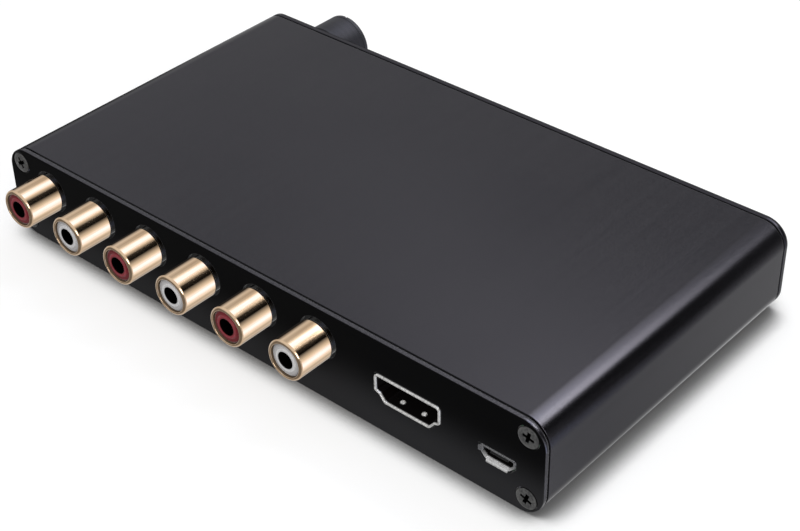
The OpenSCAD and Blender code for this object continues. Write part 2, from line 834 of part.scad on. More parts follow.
module power_socket_shell() {
    t = power_shell_t;
    top_lip = power_w * top_lip_share;
    floor_lip = power_w * floor_lip_share;
    side = [for (share = side_lip_shares) [power_w / 2, share * power_h]];
    color("#b9b9bd") at_rear(power_x) union() {
        difference() {
            slab(power_lip_d, power_d) power_outline(power_w, power_h);
            slab(power_lip_d - over, power_d - t) translate([0, t])
                power_outline(power_w - 2 * t, power_h - 2 * t);
        }
        power_flare([-top_lip, power_h], [top_lip, power_h], [0, 1]);
        power_flare([floor_lip, 0], [-floor_lip, 0], [0, -1]);
        power_flare(side[0], side[1], [1, 0]);
        mirror([1, 0, 0]) power_flare(side[0], side[1], [1, 0]);
    }
}

module power_socket_tongue() {
    z0 = power_shell_t + power_tongue_h;
    color("#151516") at_rear(power_x)
        block(power_tongue_w, power_lip_d, power_d - power_shell_t, z0, z0 + power_tongue_t);
}

module power_socket_contacts() {
    z1 = power_shell_t + power_tongue_h;
    color("#c9b184") at_rear(power_x) for (i = [-2:2]) translate([i * power_contact_pitch, 0, 0])
        block(power_contact_w, 2 * power_lip_d, power_d - power_shell_t, z1 - video_contact_t, z1);
}

// Volume control

bush_r = shaft_r + shaft_gap + bush_wall;
rotor_y0 = plate_t + pot_wall + rotor_gap;

module potentiometer_body() {
    color("#2f4f38") at_front(knob_x) translate([0, 0, pot_axis_h]) difference() {
        union() {
            block(pot_w, plate_t, plate_t + pot_d, -pot_axis_h, pot_h - pot_axis_h);
            bar(-bush_proud, plate_t + over, bush_r);
        }
        bar(-bush_proud - over, rotor_y0, shaft_r + shaft_gap);
        bar(plate_t + pot_wall, rotor_y0 + rotor_t + rotor_gap, rotor_r + rotor_gap);
    }
}

module shaft_section(gap) {
    intersection() {
        circle(shaft_r + gap);
        translate([-2 * shaft_r, -2 * shaft_r]) square([4 * shaft_r, 3 * shaft_r - shaft_flat + gap]);
    }
}

module potentiometer_shaft() {
    color("#b8b8bc") at_front(knob_x) translate([0, 0, pot_axis_h]) union() {
        slab(knob_end_t - knob_proud, -bush_proud) shaft_section(0);
        bar(-bush_proud, rotor_y0 + rotor_t / 2, shaft_r);
        bar(rotor_y0, rotor_y0 + rotor_t, rotor_r);
    }
}

// Half section of the knob by radius and depth, with its dished end and ring groove
module knob_profile() {
    end = -knob_proud;
    dish_r = knob_r - knob_rim_w;
    groove = end + knob_ring_l;
    polygon([
        [0, end + knob_dish_depth],
        [dish_r, end + knob_dish_depth],
        [dish_r, end],
        [knob_r - knob_chamfer, end],
        [knob_r, end + knob_chamfer],
        [knob_r, groove],
        [knob_r - knob_ring_depth, groove],
        [knob_r - knob_ring_depth, groove + knob_ring_w],
        [knob_r, groove + knob_ring_w],
        [knob_r, -knob_gap],
        [0, -knob_gap]
    ]);
}

module volume_knob() {
    bush_room_r = bush_r + 2 * rotor_gap;
    color("#2c2c30") at_front(knob_x) translate([0, 0, pot_axis_h]) difference() {
        turned() knob_profile();
        slab(knob_end_t - seat_gap - knob_proud, 0) shaft_section(seat_gap);
        bar(-bush_proud - knob_gap, 0, bush_room_r);
        block(pointer_w, -knob_proud - over, pointer_depth - knob_proud, pointer_start_r, knob_r + over);
    }
}

// Headphone socket

module headphone_socket() {
    color("#1d1d1f") at_front(phones_x) translate([0, 0, phones_axis_h]) difference() {
        union() {
            block(phones_w, plate_t, plate_t + phones_d, -phones_axis_h, phones_h - phones_axis_h);
            bar(-phones_proud, plate_t + over, phones_nose_r);
        }
        bar(-phones_proud - over, phones_bore_d - phones_proud, phones_bore_r);
    }
}

// Two flat contacts stand against each side of the socket's body
module headphone_contacts() {
    color("#c9b184") at_front(phones_x) for (side = [-1, 1]) for (at = phones_contact_shares)
        translate([side * (phones_w + contact_t) / 2, plate_t + at * phones_d, 0])
            block(contact_t, -jack_tail_w / 2, jack_tail_w / 2, 0, phones_axis_h);
}

// Mode switch

switch_axis_h = switch_h / 2;

module lever_slot(y0, y1) {
    slot_w = lever_w + 2 * (switch_travel + lever_gap);
    slot_h = lever_w + 2 * lever_gap;
    block(slot_w, y0, y1, switch_axis_h - slot_h / 2, switch_axis_h + slot_h / 2);
}

module mode_switch_frame() {
    color("#b9b9bd") at_front(switch_x) difference() {
        block(switch_w, plate_t, plate_t + switch_d, 0, switch_h);
        block(switch_w - 2 * switch_wall, plate_t + switch_wall, plate_t + switch_d - switch_wall,
            switch_wall, switch_h - switch_wall);
        lever_slot(plate_t - over, plate_t + switch_wall + over / 2);
    }
}

module mode_switch_lever() {
    inset = switch_wall + carriage_gap;
    color("#e6e2e0") at_front(switch_x) union() {
        block(carriage_w, plate_t + inset, plate_t + switch_d - inset, inset, switch_h - inset);
        block(lever_w, -lever_proud, plate_t + 2 * inset,
            switch_axis_h - lever_w / 2, switch_axis_h + lever_w / 2);
        for (i = [-1:1]) translate([i * lever_ridge_pitch, 0, 0])
            block(lever_ridge_w, -lever_proud - lever_ridge_h, -lever_proud,
                switch_axis_h - lever_w / 2, switch_axis_h + lever_w / 2);
    }
}

// Status lights

module status_lights() {
    color("#d8e6f0") at_lights() union() {
        translate([0, light_r - light_proud, 0]) sphere(light_r);
        bar(light_r - light_proud, plate_t + light_back, light_r);
        bar(plate_t, plate_t + light_flange_t, light_flange_r);
    }
}

module light_leads() {
    back = plate_t + light_back;
    color("#b9b9bd") at_lights() for (side = [-1, 1]) translate([side * lead_pitch / 2, 0, 0]) union() {
        block(lead_t, back, back + 2 * lead_t, -lead_t / 2, lead_t / 2);
        block(lead_t, back + lead_t, back + 2 * lead_t, -light_axis_h, lead_t / 2);
    }
}

// Optical socket

hinge_z = mouth_sill + mouth_h + shutter_t / 2 + shutter_gap / 2;
hinge_y = mouth_lip + shutter_gap + shutter_t / 2;
chamber_top = hinge_z + shutter_t / 2 + shutter_rib_h + shutter_gap;

module optical_socket() {
    color("#1d1d1f") at_front(optical_x) difference() {
        block(optical_w, 0, optical_d, 0, optical_h);
        block(mouth_w, -over, mouth_lip + over, mouth_sill, mouth_sill + mouth_h);
        block(mouth_w, mouth_lip, chamber_d, mouth_sill, chamber_top);
        translate([-mouth_w / 2 - shutter_pin_l - shutter_gap, hinge_y, hinge_z]) rotate([0, 90, 0])
            cylinder(h = mouth_w + 2 * (shutter_pin_l + shutter_gap), r = shutter_pin_r + shutter_pin_gap);
        translate([0, 0, mouth_sill + mouth_h / 2]) {
            bar(chamber_d - over, chamber_d + ferrule_d + over, ferrule_r);
            block(emitter_w + 2 * seat_gap, chamber_d + ferrule_d, optical_d + over,
                -mouth_sill - mouth_h / 2 - over, emitter_w / 2 + seat_gap);
        }
    }
}

module optical_shutter() {
    shutter_w = mouth_w - 2 * shutter_gap;
    color("#2a2a2d") at_front(optical_x) union() {
        block(shutter_w, hinge_y - shutter_t / 2, hinge_y + shutter_t / 2, mouth_sill + shutter_gap, hinge_z);
        for (share = shutter_rib_shares) translate([0, 0, mouth_sill + share * mouth_h])
            block(shutter_w - 2 * shutter_rib_w, hinge_y - shutter_t / 2 - shutter_rib_h,
                hinge_y - shutter_t / 2, -shutter_rib_w / 2, shutter_rib_w / 2);
        translate([-shutter_w / 2, hinge_y, hinge_z]) rotate([0, 90, 0])
            cylinder(h = shutter_w, r = shutter_t / 2);
        translate([-shutter_w / 2 - shutter_pin_l, hinge_y, hinge_z]) rotate([0, 90, 0])
            cylinder(h = shutter_w + 2 * shutter_pin_l, r = shutter_pin_r);
    }
}

module optical_emitter() {
    y0 = chamber_d + ferrule_d;
    color("#5a1418") at_front(optical_x) translate([0, 0, mouth_sill + mouth_h / 2]) union() {
        block(emitter_w, y0, y0 + emitter_d, -emitter_w / 2, emitter_w / 2);
        bar(y0 - emitter_d / 2, y0 + emitter_d / 2, ferrule_r / 2);
        for (i = [-1:1]) translate([i * lead_pitch, 0, 0])
            block(lead_t, y0 + emitter_d / 2, y0 + emitter_d / 2 + lead_t, -mouth_sill - mouth_h / 2, 0);
    }
}

// Parts of the board

module at_field(shares) {
    translate([shares[0] * field_w, field_y0 + shares[1] * field_d, board_top]) children();
}

// A row of bent leads along one side of a chip; they run out along +Y from y = 0
module lead_row(count) {
    shoulder = chip_foot + chip_t / 2;
    for (i = [0:count - 1]) translate([(i - (count - 1) / 2) * chip_lead_pitch, 0, 0]) {
        block(chip_lead_w, -chip_lead_l / 2, chip_lead_l / 2, shoulder, shoulder + chip_lead_t);
        block(chip_lead_w, chip_lead_l / 2 - chip_lead_t, chip_lead_l / 2, 0, shoulder + chip_lead_t);
        block(chip_lead_w, chip_lead_l / 2 - chip_lead_t, chip_lead_l, 0, chip_lead_t);
    }
}

// A chip's body, with the round mark at its first lead
module chip_body(l, w) {
    inset = w * chip_dot_share;
    difference() {
        block(l, -w / 2, w / 2, chip_foot, chip_foot + chip_t);
        translate([inset - l / 2, inset - w / 2, chip_foot + chip_t - chip_dot_depth])
            cylinder(h = over, r = chip_dot_r);
    }
}

module square_chip(w) {
    count = floor((w - chip_lead_pitch) / chip_lead_pitch);
    union() {
        chip_body(w, w);
        for (turn = [0:90:270]) rotate([0, 0, turn]) translate([0, w / 2, 0]) lead_row(count);
    }
}

module small_chip() {
    count = floor(small_chip_l / chip_lead_pitch);
    union() {
        chip_body(small_chip_l, small_chip_w);
        for (turn = [0, 180]) rotate([0, 0, turn]) translate([0, small_chip_w / 2, 0]) lead_row(count);
    }
}

module video_chip() {
    color("#222224") at_field(video_chip_shares) square_chip(video_chip_w);
}

module audio_chip() {
    color("#222224") at_field(audio_chip_shares) square_chip(audio_chip_w);
}

module converter_chips() {
    color("#222224") for (place = converter_shares) at_field(place) small_chip();
}

module memory_chip() {
    color("#222224") at_field(memory_chip_shares) small_chip();
}

module crystals() {
    r = crystal_w / 2;
    color("#b9b9bd") for (place = crystal_shares) at_field(place) union() {
        for (level = [[crystal_flange_w, crystal_flange_t], [0, crystal_h]]) {
            for (side = [-1, 1]) translate([side * (crystal_l / 2 - r), 0, 0])
                cylinder(h = level[1], r = r + level[0]);
            block(crystal_l - crystal_w, -r - level[0], r + level[0], 0, level[1]);
        }
    }
}

module can_base_outline() {
    w = can_base_w / 2;
    polygon([[-w, -w], [w, -w], [w, w - can_base_cut], [w - can_base_cut, w], [can_base_cut - w, w],
        [-w, w - can_base_cut]]);
}

// One can stands behind each jack
module capacitors() {
    color("#a9abb0") for (i = [0:jack_count - 1])
        translate([first_jack_x + i * jack_pitch, field_y0 + can_row_share * field_d, board_top]) union() {
            linear_extrude(can_base_h) can_base_outline();
            cylinder(h = can_h, r = can_r - can_groove_depth);
            translate([0, 0, can_base_h + can_groove_h])
                cylinder(h = can_h - can_base_h - can_groove_h, r = can_r);
        }
}

module power_inductor() {
    core_r = inductor_w * core_share;
    color("#3a3a3d") at_field(inductor_shares) difference() {
        block(inductor_w, -inductor_w / 2, inductor_w / 2, 0, inductor_h);
        translate([0, 0, inductor_h / 2]) difference() {
            cylinder(h = inductor_h, r = core_r + contact_t);
            cylinder(h = inductor_h, r = core_r);
        }
    }
}

module voltage_regulators() {
    color("#222224") for (place = regulator_shares) at_field(place) union() {
        block(regulator_l, -regulator_w / 2, regulator_w / 2, chip_foot, chip_foot + chip_t);
        translate([0, regulator_w / 2, 0]) lead_row(1);
        rotate([0, 0, 180]) translate([0, regulator_w / 2, 0]) lead_row(3);
    }
}

enclosure_sleeve();
rear_panel();
front_panel();
rear_screws();
front_screws();
circuit_board();
for (i = [1:jack_count]) {
    jack_shell(i);
    jack_insulator(i);
    jack_housing(i);
}
jack_contacts();
video_output_shell();
video_output_tongue();
video_output_contacts();
video_input_shell();
video_input_tongue();
video_input_contacts();
power_socket_shell();
power_socket_tongue();
power_socket_contacts();
volume_knob();
potentiometer_shaft();
potentiometer_body();
headphone_socket();
headphone_contacts();
mode_switch_frame();
mode_switch_lever();
status_lights();
light_leads();
optical_socket();
optical_shutter();
optical_emitter();
video_chip();
audio_chip();
converter_chips();
memory_chip();
crystals();
capacitors();
power_inductor();
voltage_regulators();
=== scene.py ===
"""Looks for the audio extractor box: detailed shells, sockets, jacks and controls."""
import json
import math

import bmesh
import bpy
from mathutils import Matrix, Vector

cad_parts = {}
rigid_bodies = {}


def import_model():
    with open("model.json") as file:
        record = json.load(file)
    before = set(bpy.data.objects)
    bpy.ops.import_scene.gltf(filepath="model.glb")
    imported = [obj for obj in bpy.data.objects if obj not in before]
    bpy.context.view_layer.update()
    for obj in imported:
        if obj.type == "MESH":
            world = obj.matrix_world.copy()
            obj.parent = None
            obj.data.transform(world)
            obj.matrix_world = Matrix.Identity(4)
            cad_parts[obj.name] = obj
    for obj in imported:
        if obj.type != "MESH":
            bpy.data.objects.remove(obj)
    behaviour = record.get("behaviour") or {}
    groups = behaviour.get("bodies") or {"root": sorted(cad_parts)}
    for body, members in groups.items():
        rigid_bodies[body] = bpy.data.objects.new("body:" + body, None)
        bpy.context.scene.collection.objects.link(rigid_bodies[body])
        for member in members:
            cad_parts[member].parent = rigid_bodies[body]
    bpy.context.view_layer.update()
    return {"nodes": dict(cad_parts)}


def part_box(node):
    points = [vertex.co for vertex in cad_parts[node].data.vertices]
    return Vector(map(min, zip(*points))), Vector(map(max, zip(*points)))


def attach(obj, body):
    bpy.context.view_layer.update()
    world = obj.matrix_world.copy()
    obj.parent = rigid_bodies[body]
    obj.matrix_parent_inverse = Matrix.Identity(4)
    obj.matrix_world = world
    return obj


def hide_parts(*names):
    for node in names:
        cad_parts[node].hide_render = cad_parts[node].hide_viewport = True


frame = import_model()

MM = 0.001

# Sizes of the part in millimetres, as its own model gives them: the case
CASE_W = 136.8
CASE_H = 20.1
WALL = 1.4
EDGE_R = 5.0
PLATE_T = 1.1
REAR_Y = -37.9
FRONT_Y = 37.9
SEAM_W = 0.4
SEAM_DEPTH = 0.4
BOARD_TOP = 7.0
SLOT_FLOOR = 5.3
SLOT_ROOF = 7.1
RAIL_TOP = 8.0
RAIL_REACH = 1.6

# Screws and their ports
SCREW_X = 64.9
SCREW_Z = (3.2, 16.9)
SCREW_HEAD_R = 2.2
SCREW_D = 7.0
SHANK_R = 1.2
PORT_R = 2.1

# Jacks
JACK_Z = 13.4
BARREL_R = 4.15
BARREL_BORE_R = 3.45
BARREL_OUT = 8.5
BARREL_ROOT = 0.4
BARREL_SEAT_R = 3.85
PIN_HOLE_R = 1.7

# Video and power sockets
VIDEO_W = 15.0
VIDEO_H = 5.8
VIDEO_D = 11.5
VIDEO_T = 0.4
DIMPLE_X = 2.45
DIMPLE_Y = 1.7
POWER_W = 7.4
POWER_H = 2.75
POWER_D = 5.2
POWER_T = 0.3
LIP_PROUD = 0.05

# Controls, with heights above the board
KNOB_R = 6.4
KNOB_FAR = 8.5
KNOB_NEAR = 0.5
BUSH_HOLE_R = 3.63
PHONES_R = 3.0
PHONES_UP = 3.4
SWITCH_UP = 2.2
LIGHT_R = 1.5
LIGHT_UP = 3.2
LIGHT_X = (-4.5, 1.0, 6.5)

# Optical socket
OPTICAL_W = 9.7
OPTICAL_H = 9.9
OPTICAL_FRAME_T = 0.6
OPTICAL_ROOM_D = 8.2
OPTICAL_WALL_D = 10.8
OPTICAL_D = 13.5
SHUTTER_PIVOT = (0.0, 1.0, 8.65)

# Rounding of the edges that show on the plates, and of edges that lie hidden
PLATE_EDGE = 0.14
HIDDEN_EDGE = 0.02

# The skins of the two halves of the box blend over this far on either side of its middle
HALF_BLEND = 10.0

# Corners on the +X side of the two socket outlines, as shares of their width and height
VIDEO_SIDE = ((0.5, 0.344), (0.427, 0.28), (0.38, 0.115), (0.34, 0.0))
POWER_SIDE = ((0.5, 1.0), (0.5, 0.46), (0.34, 0.0))


# ---------------------------------------------------------------- materials

def linear(code):
    """The linear colour of a web colour code."""
    parts = [int(code[i:i + 2], 16) / 255 for i in (1, 3, 5)]
    parts = [p / 12.92 if p <= 0.04045 else ((p + 0.055) / 1.055) ** 2.4 for p in parts]
    return (*parts, 1.0)


def grey(level):
    return (level, level, level, 1.0)


WHITE = grey(1.0)


class Wire:
    """A socket's value, worked with in plain expressions."""

    def __init__(self, finish, socket):
        self.finish = finish
        self.socket = socket

    def reckon(self, operation, first, second=0.0):
        return self.finish.node("ShaderNodeMath", {"operation": operation}, {0: first, 1: second})

    def __add__(self, other):
        return self.reckon("ADD", self, other)

    def __radd__(self, other):
        return self.reckon("ADD", other, self)

    def __sub__(self, other):
        return self.reckon("SUBTRACT", self, other)

    def __rsub__(self, other):
        return self.reckon("SUBTRACT", other, self)

    def __mul__(self, other):
        return self.reckon("MULTIPLY", self, other)

    def __rmul__(self, other):
        return self.reckon("MULTIPLY", other, self)

    def __truediv__(self, other):
        return self.reckon("DIVIDE", self, other)

    def __abs__(self):
        return self.reckon("ABSOLUTE", self)

    def at_least(self, other):
        return self.reckon("MAXIMUM", self, other)

    def root(self):
        return self.reckon("SQRT", self)


def diagonal(first, second):
    """Length of the diagonal over two measures at right angles."""
    return (first * first + second * second).root()


class Finish:
    """A procedural material round one Principled shader; constants are set on its sockets."""

    def __init__(self, name, tree=None, **constants):
        if tree is None:
            self.material = bpy.data.materials.new(name)
            self.material.use_nodes = True
            tree = self.material.node_tree
        self.tree = tree
        self.tree.nodes.clear()
        self.shader = None
        self.end = None
        if constants:
            self.shader = self.tree.nodes.new("ShaderNodeBsdfPrincipled")
            for socket, value in constants.items():
                self.shader.inputs[socket.replace("_", " ")].default_value = value
            self.output(self.shader.outputs[0])

    def output(self, surface):
        if self.end is None:
            self.end = self.tree.nodes.new("ShaderNodeOutputMaterial")
        self.tree.links.new(surface, self.end.inputs["Surface"])

    def painted_shade(self, share, colour):
        """Painted shade: blends over to a dull dark skin, where shade falls inside a narrow hole or recess."""
        dull = self.node("ShaderNodeBsdfDiffuse", sockets={"Color": linear(colour)})
        skin = Wire(self, self.shader.outputs[0])
        self.output(self.node("ShaderNodeMixShader", sockets={0: share, 1: skin, 2: dull}).socket)

    def node(self, kind, settings=None, sockets=None, out=0):
        made = self.tree.nodes.new(kind)
        for key, value in (settings or {}).items():
            if key == "stops":
                ramp = made.color_ramp
                while len(ramp.elements) > 1:
                    ramp.elements.remove(ramp.elements[-1])
                ramp.elements[0].position = value[0][0]
                ramp.elements[0].color = value[0][1]
                for position, colour in value[1:]:
                    ramp.elements.new(position).color = colour
            elif key == "interpolation":
                made.color_ramp.interpolation = value
            else:
                setattr(made, key, value)
        for key, value in (sockets or {}).items():
            if isinstance(value, Wire):
                self.tree.links.new(value.socket, made.inputs[key])
            else:
                made.inputs[key].default_value = value
        return Wire(self, made.outputs[out])

    def feed(self, socket, wire):
        self.tree.links.new(wire.socket, self.shader.inputs[socket])

    def place(self):
        return self.node("ShaderNodeTexCoord", out="Object")

    def axes(self, vector):
        split = self.node("ShaderNodeSeparateXYZ", sockets={0: vector})
        return [Wire(self, split.socket.node.outputs[i]) for i in range(3)]

    def stretched(self, vector, scale):
        return self.node("ShaderNodeVectorMath", {"operation": "MULTIPLY"}, {0: vector, 1: scale})

    def noise(self, vector, scale, detail=3.0, rough=0.5):
        return self.node("ShaderNodeTexNoise", sockets={
            "Vector": vector, "Scale": scale, "Detail": detail, "Roughness": rough})

    def ease(self, value, low, high, to_low=0.0, to_high=1.0):
        return self.node("ShaderNodeMapRange", {"interpolation_type": "SMOOTHSTEP"}, {
            0: value, 1: low, 2: high, 3: to_low, 4: to_high})

    def mixed(self, factor, first, second):
        return self.node("ShaderNodeMix", {"data_type": "RGBA"}, {0: factor, 6: first, 7: second}, out=2)

    def toned(self, value, low, high, dark, light):
        """From one web colour to another as the value goes from low to high."""
        return self.mixed(self.ease(value, low, high), linear(dark), linear(light))

    def ramp(self, value, stops):
        return self.node("ShaderNodeValToRGB", {"interpolation": "LINEAR", "stops": stops}, {0: value})

    def bump(self, height, strength, distance):
        """Relief on the skin; distance is in millimetres."""
        self.feed("Normal", self.node("ShaderNodeBump", sockets={
            "Height": height, "Strength": strength, "Distance": distance * MM}))


def away_from_plate(y):
    """Depth in metres behind the outer faces of the two end plates."""
    return FRONT_Y * MM - abs(y)


def outer_rim(f, x, z):
    """1 on the outermost skin of the rounded case outline, 0 on the walls of the plates' holes."""
    aside = (abs(x) - (CASE_W / 2 - EDGE_R) * MM).at_least(0.0)
    rise = (abs(z - CASE_H / 2 * MM) - (CASE_H / 2 - EDGE_R) * MM).at_least(0.0)
    return f.ease(diagonal(aside, rise), (EDGE_R - 0.25) * MM, (EDGE_R - 0.15) * MM)


def control_half(f, y):
    """0 on the half of the box with the jacks, 1 on the half with the controls."""
    return f.ease(y, -HALF_BLEND * MM, HALF_BLEND * MM)


def anodised(name, dark, light, pale):
    """Bead-blasted and dyed extrusion: fine grain, faint drawing lines, painted light that makes it paler towards the
    jacks, and painted shade in the groove at each end.
    """
    f = Finish(name, Metallic=0.97, IOR=1.45, Specular_IOR_Level=0.2)
    place = f.place()
    y = f.axes(place)[1]
    grain = f.noise(place, 4300.0, 2.0)
    drawn = f.noise(f.stretched(place, (900.0, 14.0, 900.0)), 1.0, 3.0)
    cloud = f.noise(place, 22.0, 3.0)
    tone = 0.12 * drawn + 0.28 * cloud + 0.6 * grain
    skin = f.toned(tone, 0.36, 0.64, dark, light)
    # Painted light: the skin turns paler towards the jacks
    skin = f.mixed(f.ease(y, -65 * MM, 50 * MM, 0.4, 0.0), skin, linear(pale))
    # Painted shade in the groove by each plate, stronger on the half with the jacks
    groove_end = PLATE_T + SEAM_W
    seam_shade = f.ease(away_from_plate(y), (groove_end - 0.02) * MM, (groove_end + 0.1) * MM, 1.0, 0.0)
    seam_shade = seam_shade * (0.8 - 0.6 * control_half(f, y))
    f.feed("Base Color", f.mixed(seam_shade, skin, linear("#141416")))
    f.feed("Roughness", f.ease(0.7 * grain + 0.3 * drawn, 0.3, 0.7, 0.17, 0.25))
    f.bump(0.9 * grain + 0.1 * drawn, 0.12, 0.04)
    return f.material


def plate_gloss(name):
    """Black plate with a clean satin face and a bare metal edge; painted light makes the face paler towards its foot,
    and painted shade makes the edge darker on the half with the controls.
    """
    f = Finish(name, IOR=1.4, Specular_IOR_Level=0.04)
    place = f.place()
    x, y, z = f.axes(place)
    smear = f.noise(f.stretched(place, (60.0, 60.0, 150.0)), 1.0, 3.0)
    grain = f.noise(place, 3600.0, 2.0)
    # Painted light: the face is paler towards its foot
    foot = f.ease(z, 0.0, CASE_H * MM * 0.8, 1.0, 0.0)
    face = f.toned(foot + 0.08 * smear, 0.0, 1.1, "#09090a", "#343436")
    edge = f.ease(away_from_plate(y), 0.16 * MM, 0.34 * MM) * outer_rim(f, x, z)
    bare = f.toned(grain, 0.3, 0.7, "#4c4b51", "#5e5d63")
    # Painted shade: the bare edge is darker on the half with the controls
    bare = f.mixed(control_half(f, y), bare, linear("#3d3c42"))
    f.feed("Base Color", f.mixed(edge, face, bare))
    f.feed("Metallic", edge * 0.96)
    f.feed("Roughness", f.ease(smear, 0.3, 0.7, 0.34, 0.42) - 0.16 * edge)
    f.bump(grain, 0.05, 0.02)
    return f.material


def barrel_gold(name):
    """Pale gold plate over drawn brass: fine lines lengthwise, a cloud in its tone, a root painted dark as shade and
    painted shade inside its bore.
    """
    f = Finish(name, IOR=1.5, Specular_IOR_Level=0.1)
    place = f.place()
    x, y, z = f.axes(place)
    streak = f.noise(f.stretched(place, (1500.0, 60.0, 1500.0)), 1.0, 2.0)
    cloud = f.noise(place, 160.0, 2.0)
    skin = f.toned(0.6 * streak + 0.4 * cloud, 0.35, 0.65, "#e4c19c", "#efd2b1")
    # Painted shade: the root by the plate turns near black and all but loses its metal
    root = f.ease(y, (-BARREL_ROOT - 0.42) * MM, (-BARREL_ROOT - 0.3) * MM)
    f.feed("Base Color", f.mixed(root, skin, linear("#0d0906")))
    f.feed("Metallic", f.ease(root, 0.0, 1.0, 1.0, 0.1))
    f.feed("Roughness", f.ease(streak, 0.3, 0.7, 0.05, 0.1))
    f.bump(streak, 0.08, 0.03)
    # Painted shade on the bore's inner wall behind the lip
    bore = f.ease(diagonal(x, z), (BARREL_BORE_R + 0.03) * MM, (BARREL_BORE_R + 0.12) * MM, 1.0, 0.0)
    f.painted_shade(bore * f.ease(y, -(BARREL_OUT + 0.02) * MM, (0.25 - BARREL_OUT) * MM), "#6a5a49")
    return f.material


def insulator(name, dark, mid, pale):
    """Satin moulded plastic with painted light: the pin's hole painted black as shade, a painted highlight ring on
    the collar and painted shade at the rim by the barrel.
    """
    f = Finish(name, IOR=1.48, Specular_IOR_Level=0.4)
    place = f.place()
    x, _, z = f.axes(place)
    radius = diagonal(x, z)
    cloud = f.noise(place, 1400.0, 2.0)
    pin_hole = PIN_HOLE_R / BARREL_BORE_R
    # Painted light in rings: black in the pin's hole as shade, a pale highlight ring on the collar, darker shade at
    # the rim
    rings = f.ramp(radius / (BARREL_BORE_R * MM), [
        (0.0, linear("#050505")), (pin_hole + 0.005, linear("#080606")), (pin_hole + 0.03, linear(mid)),
        (0.64, linear(pale)), (0.72, linear(mid)), (0.9, linear(dark)), (1.0, linear(dark))])
    f.feed("Base Color", f.mixed(f.ease(cloud, 0.3, 0.8, 0.0, 0.25), rings, linear(dark)))
    # Painted shade on the walls of the pin's hole
    f.painted_shade(f.ease(radius, (PIN_HOLE_R + 0.02) * MM, (PIN_HOLE_R + 0.12) * MM, 1.0, 0.0), "#050404")
    f.feed("Roughness", f.ease(cloud, 0.3, 0.7, 0.38, 0.5))
    f.bump(cloud, 0.1, 0.03)
    return f.material


def nickel(name, shade_from, shade_to, rim, dimples=False, top_shade_height=None):
    """Plated sheet of a socket: bright at its rim, in painted shade further in, with its spring dimples kept bright
    as a painted highlight; the last argument is the height over which it is painted darker towards its top, as shade.
    """
    f = Finish(name, IOR=1.5, Specular_IOR_Level=0.5)
    place = f.place()
    x, y, z = f.axes(place)
    scratch = f.noise(f.stretched(place, (2400.0, 240.0, 2400.0)), 1.0, 3.0)
    # Painted shade deeper in the socket
    shade = f.ease(y, shade_from * MM, shade_to * MM)
    # Painted highlight: the spring dimples are left out of the painted shade, so they stay bright
    if dimples:
        off = diagonal(abs(x) - DIMPLE_X * MM, y - DIMPLE_Y * MM)
        shade = shade * f.ease(off, 0.42 * MM, 0.6 * MM)
    bright = f.toned(scratch, 0.35, 0.7, rim, "#c4c3c2")
    # Painted shade: the top of the sheet turns darker
    if top_shade_height is not None:
        bright = f.mixed(f.ease(z, 0.0, top_shade_height * MM), bright, linear("#747477"))
    f.feed("Base Color", f.mixed(shade, bright, linear("#0b0b0c")))
    f.feed("Metallic", f.ease(shade, 0.0, 1.0, 0.3, 0.9))
    f.feed("Roughness", f.ease(scratch, 0.3, 0.7, 0.22, 0.36))
    f.bump(scratch, 0.06, 0.02)
    f.painted_shade(shade * 0.92, "#0b0808")
    return f.material


def screw_metal(name):
    """Blackened steel with a coarse grain, in shade inside its recess."""
    f = Finish(name, Metallic=0.35, IOR=1.5, Specular_IOR_Level=0.35)
    place = f.place()
    y = f.axes(place)[1]
    grain = f.noise(place, 2600.0, 3.0, 0.6)
    patch = f.noise(place, 420.0, 2.0)
    tone = f.toned(0.65 * grain + 0.35 * patch, 0.36, 0.64, "#4b4b4c", "#747473")
    f.feed("Base Color", tone)
    f.feed("Roughness", f.ease(grain, 0.3, 0.7, 0.34, 0.52))
    f.bump(grain, 0.2, 0.04)
    f.painted_shade(f.ease(away_from_plate(y), -0.06 * MM, 0.08 * MM), "#050505")
    return f.material


def moulded(name, dark, light, rough=0.5, scale=900.0, bump=0.12, gloss=0.4):
    """Moulded plastic with a fine pebbled skin and a cloudy tone."""
    f = Finish(name, IOR=1.48, Specular_IOR_Level=gloss)
    place = f.place()
    pebble = f.noise(place, scale * 3, 3.0)
    cloud = f.noise(place, scale / 5, 3.0)
    f.feed("Base Color", f.toned(cloud * 0.6 + pebble * 0.4, 0.35, 0.65, dark, light))
    f.feed("Roughness", f.ease(pebble, 0.3, 0.7, rough - 0.06, rough + 0.08))
    f.bump(pebble, bump, 0.04)
    return f.material


def plated(name, dark, light, rough):
    """Plain or plated metal with short rolling scratches."""
    f = Finish(name, Metallic=1.0, IOR=1.5, Specular_IOR_Level=0.5)
    place = f.place()
    scratch = f.noise(f.stretched(place, (600.0, 600.0, 90.0)), 1.0, 4.0, 0.6)
    fine = f.noise(place, 2100.0, 2.0)
    f.feed("Base Color", f.toned(scratch, 0.35, 0.65, dark, light))
    f.feed("Roughness", f.ease(0.7 * scratch + 0.3 * fine, 0.3, 0.7, rough - 0.05, rough + 0.1))
    f.bump(scratch, 0.08, 0.03)
    return f.material


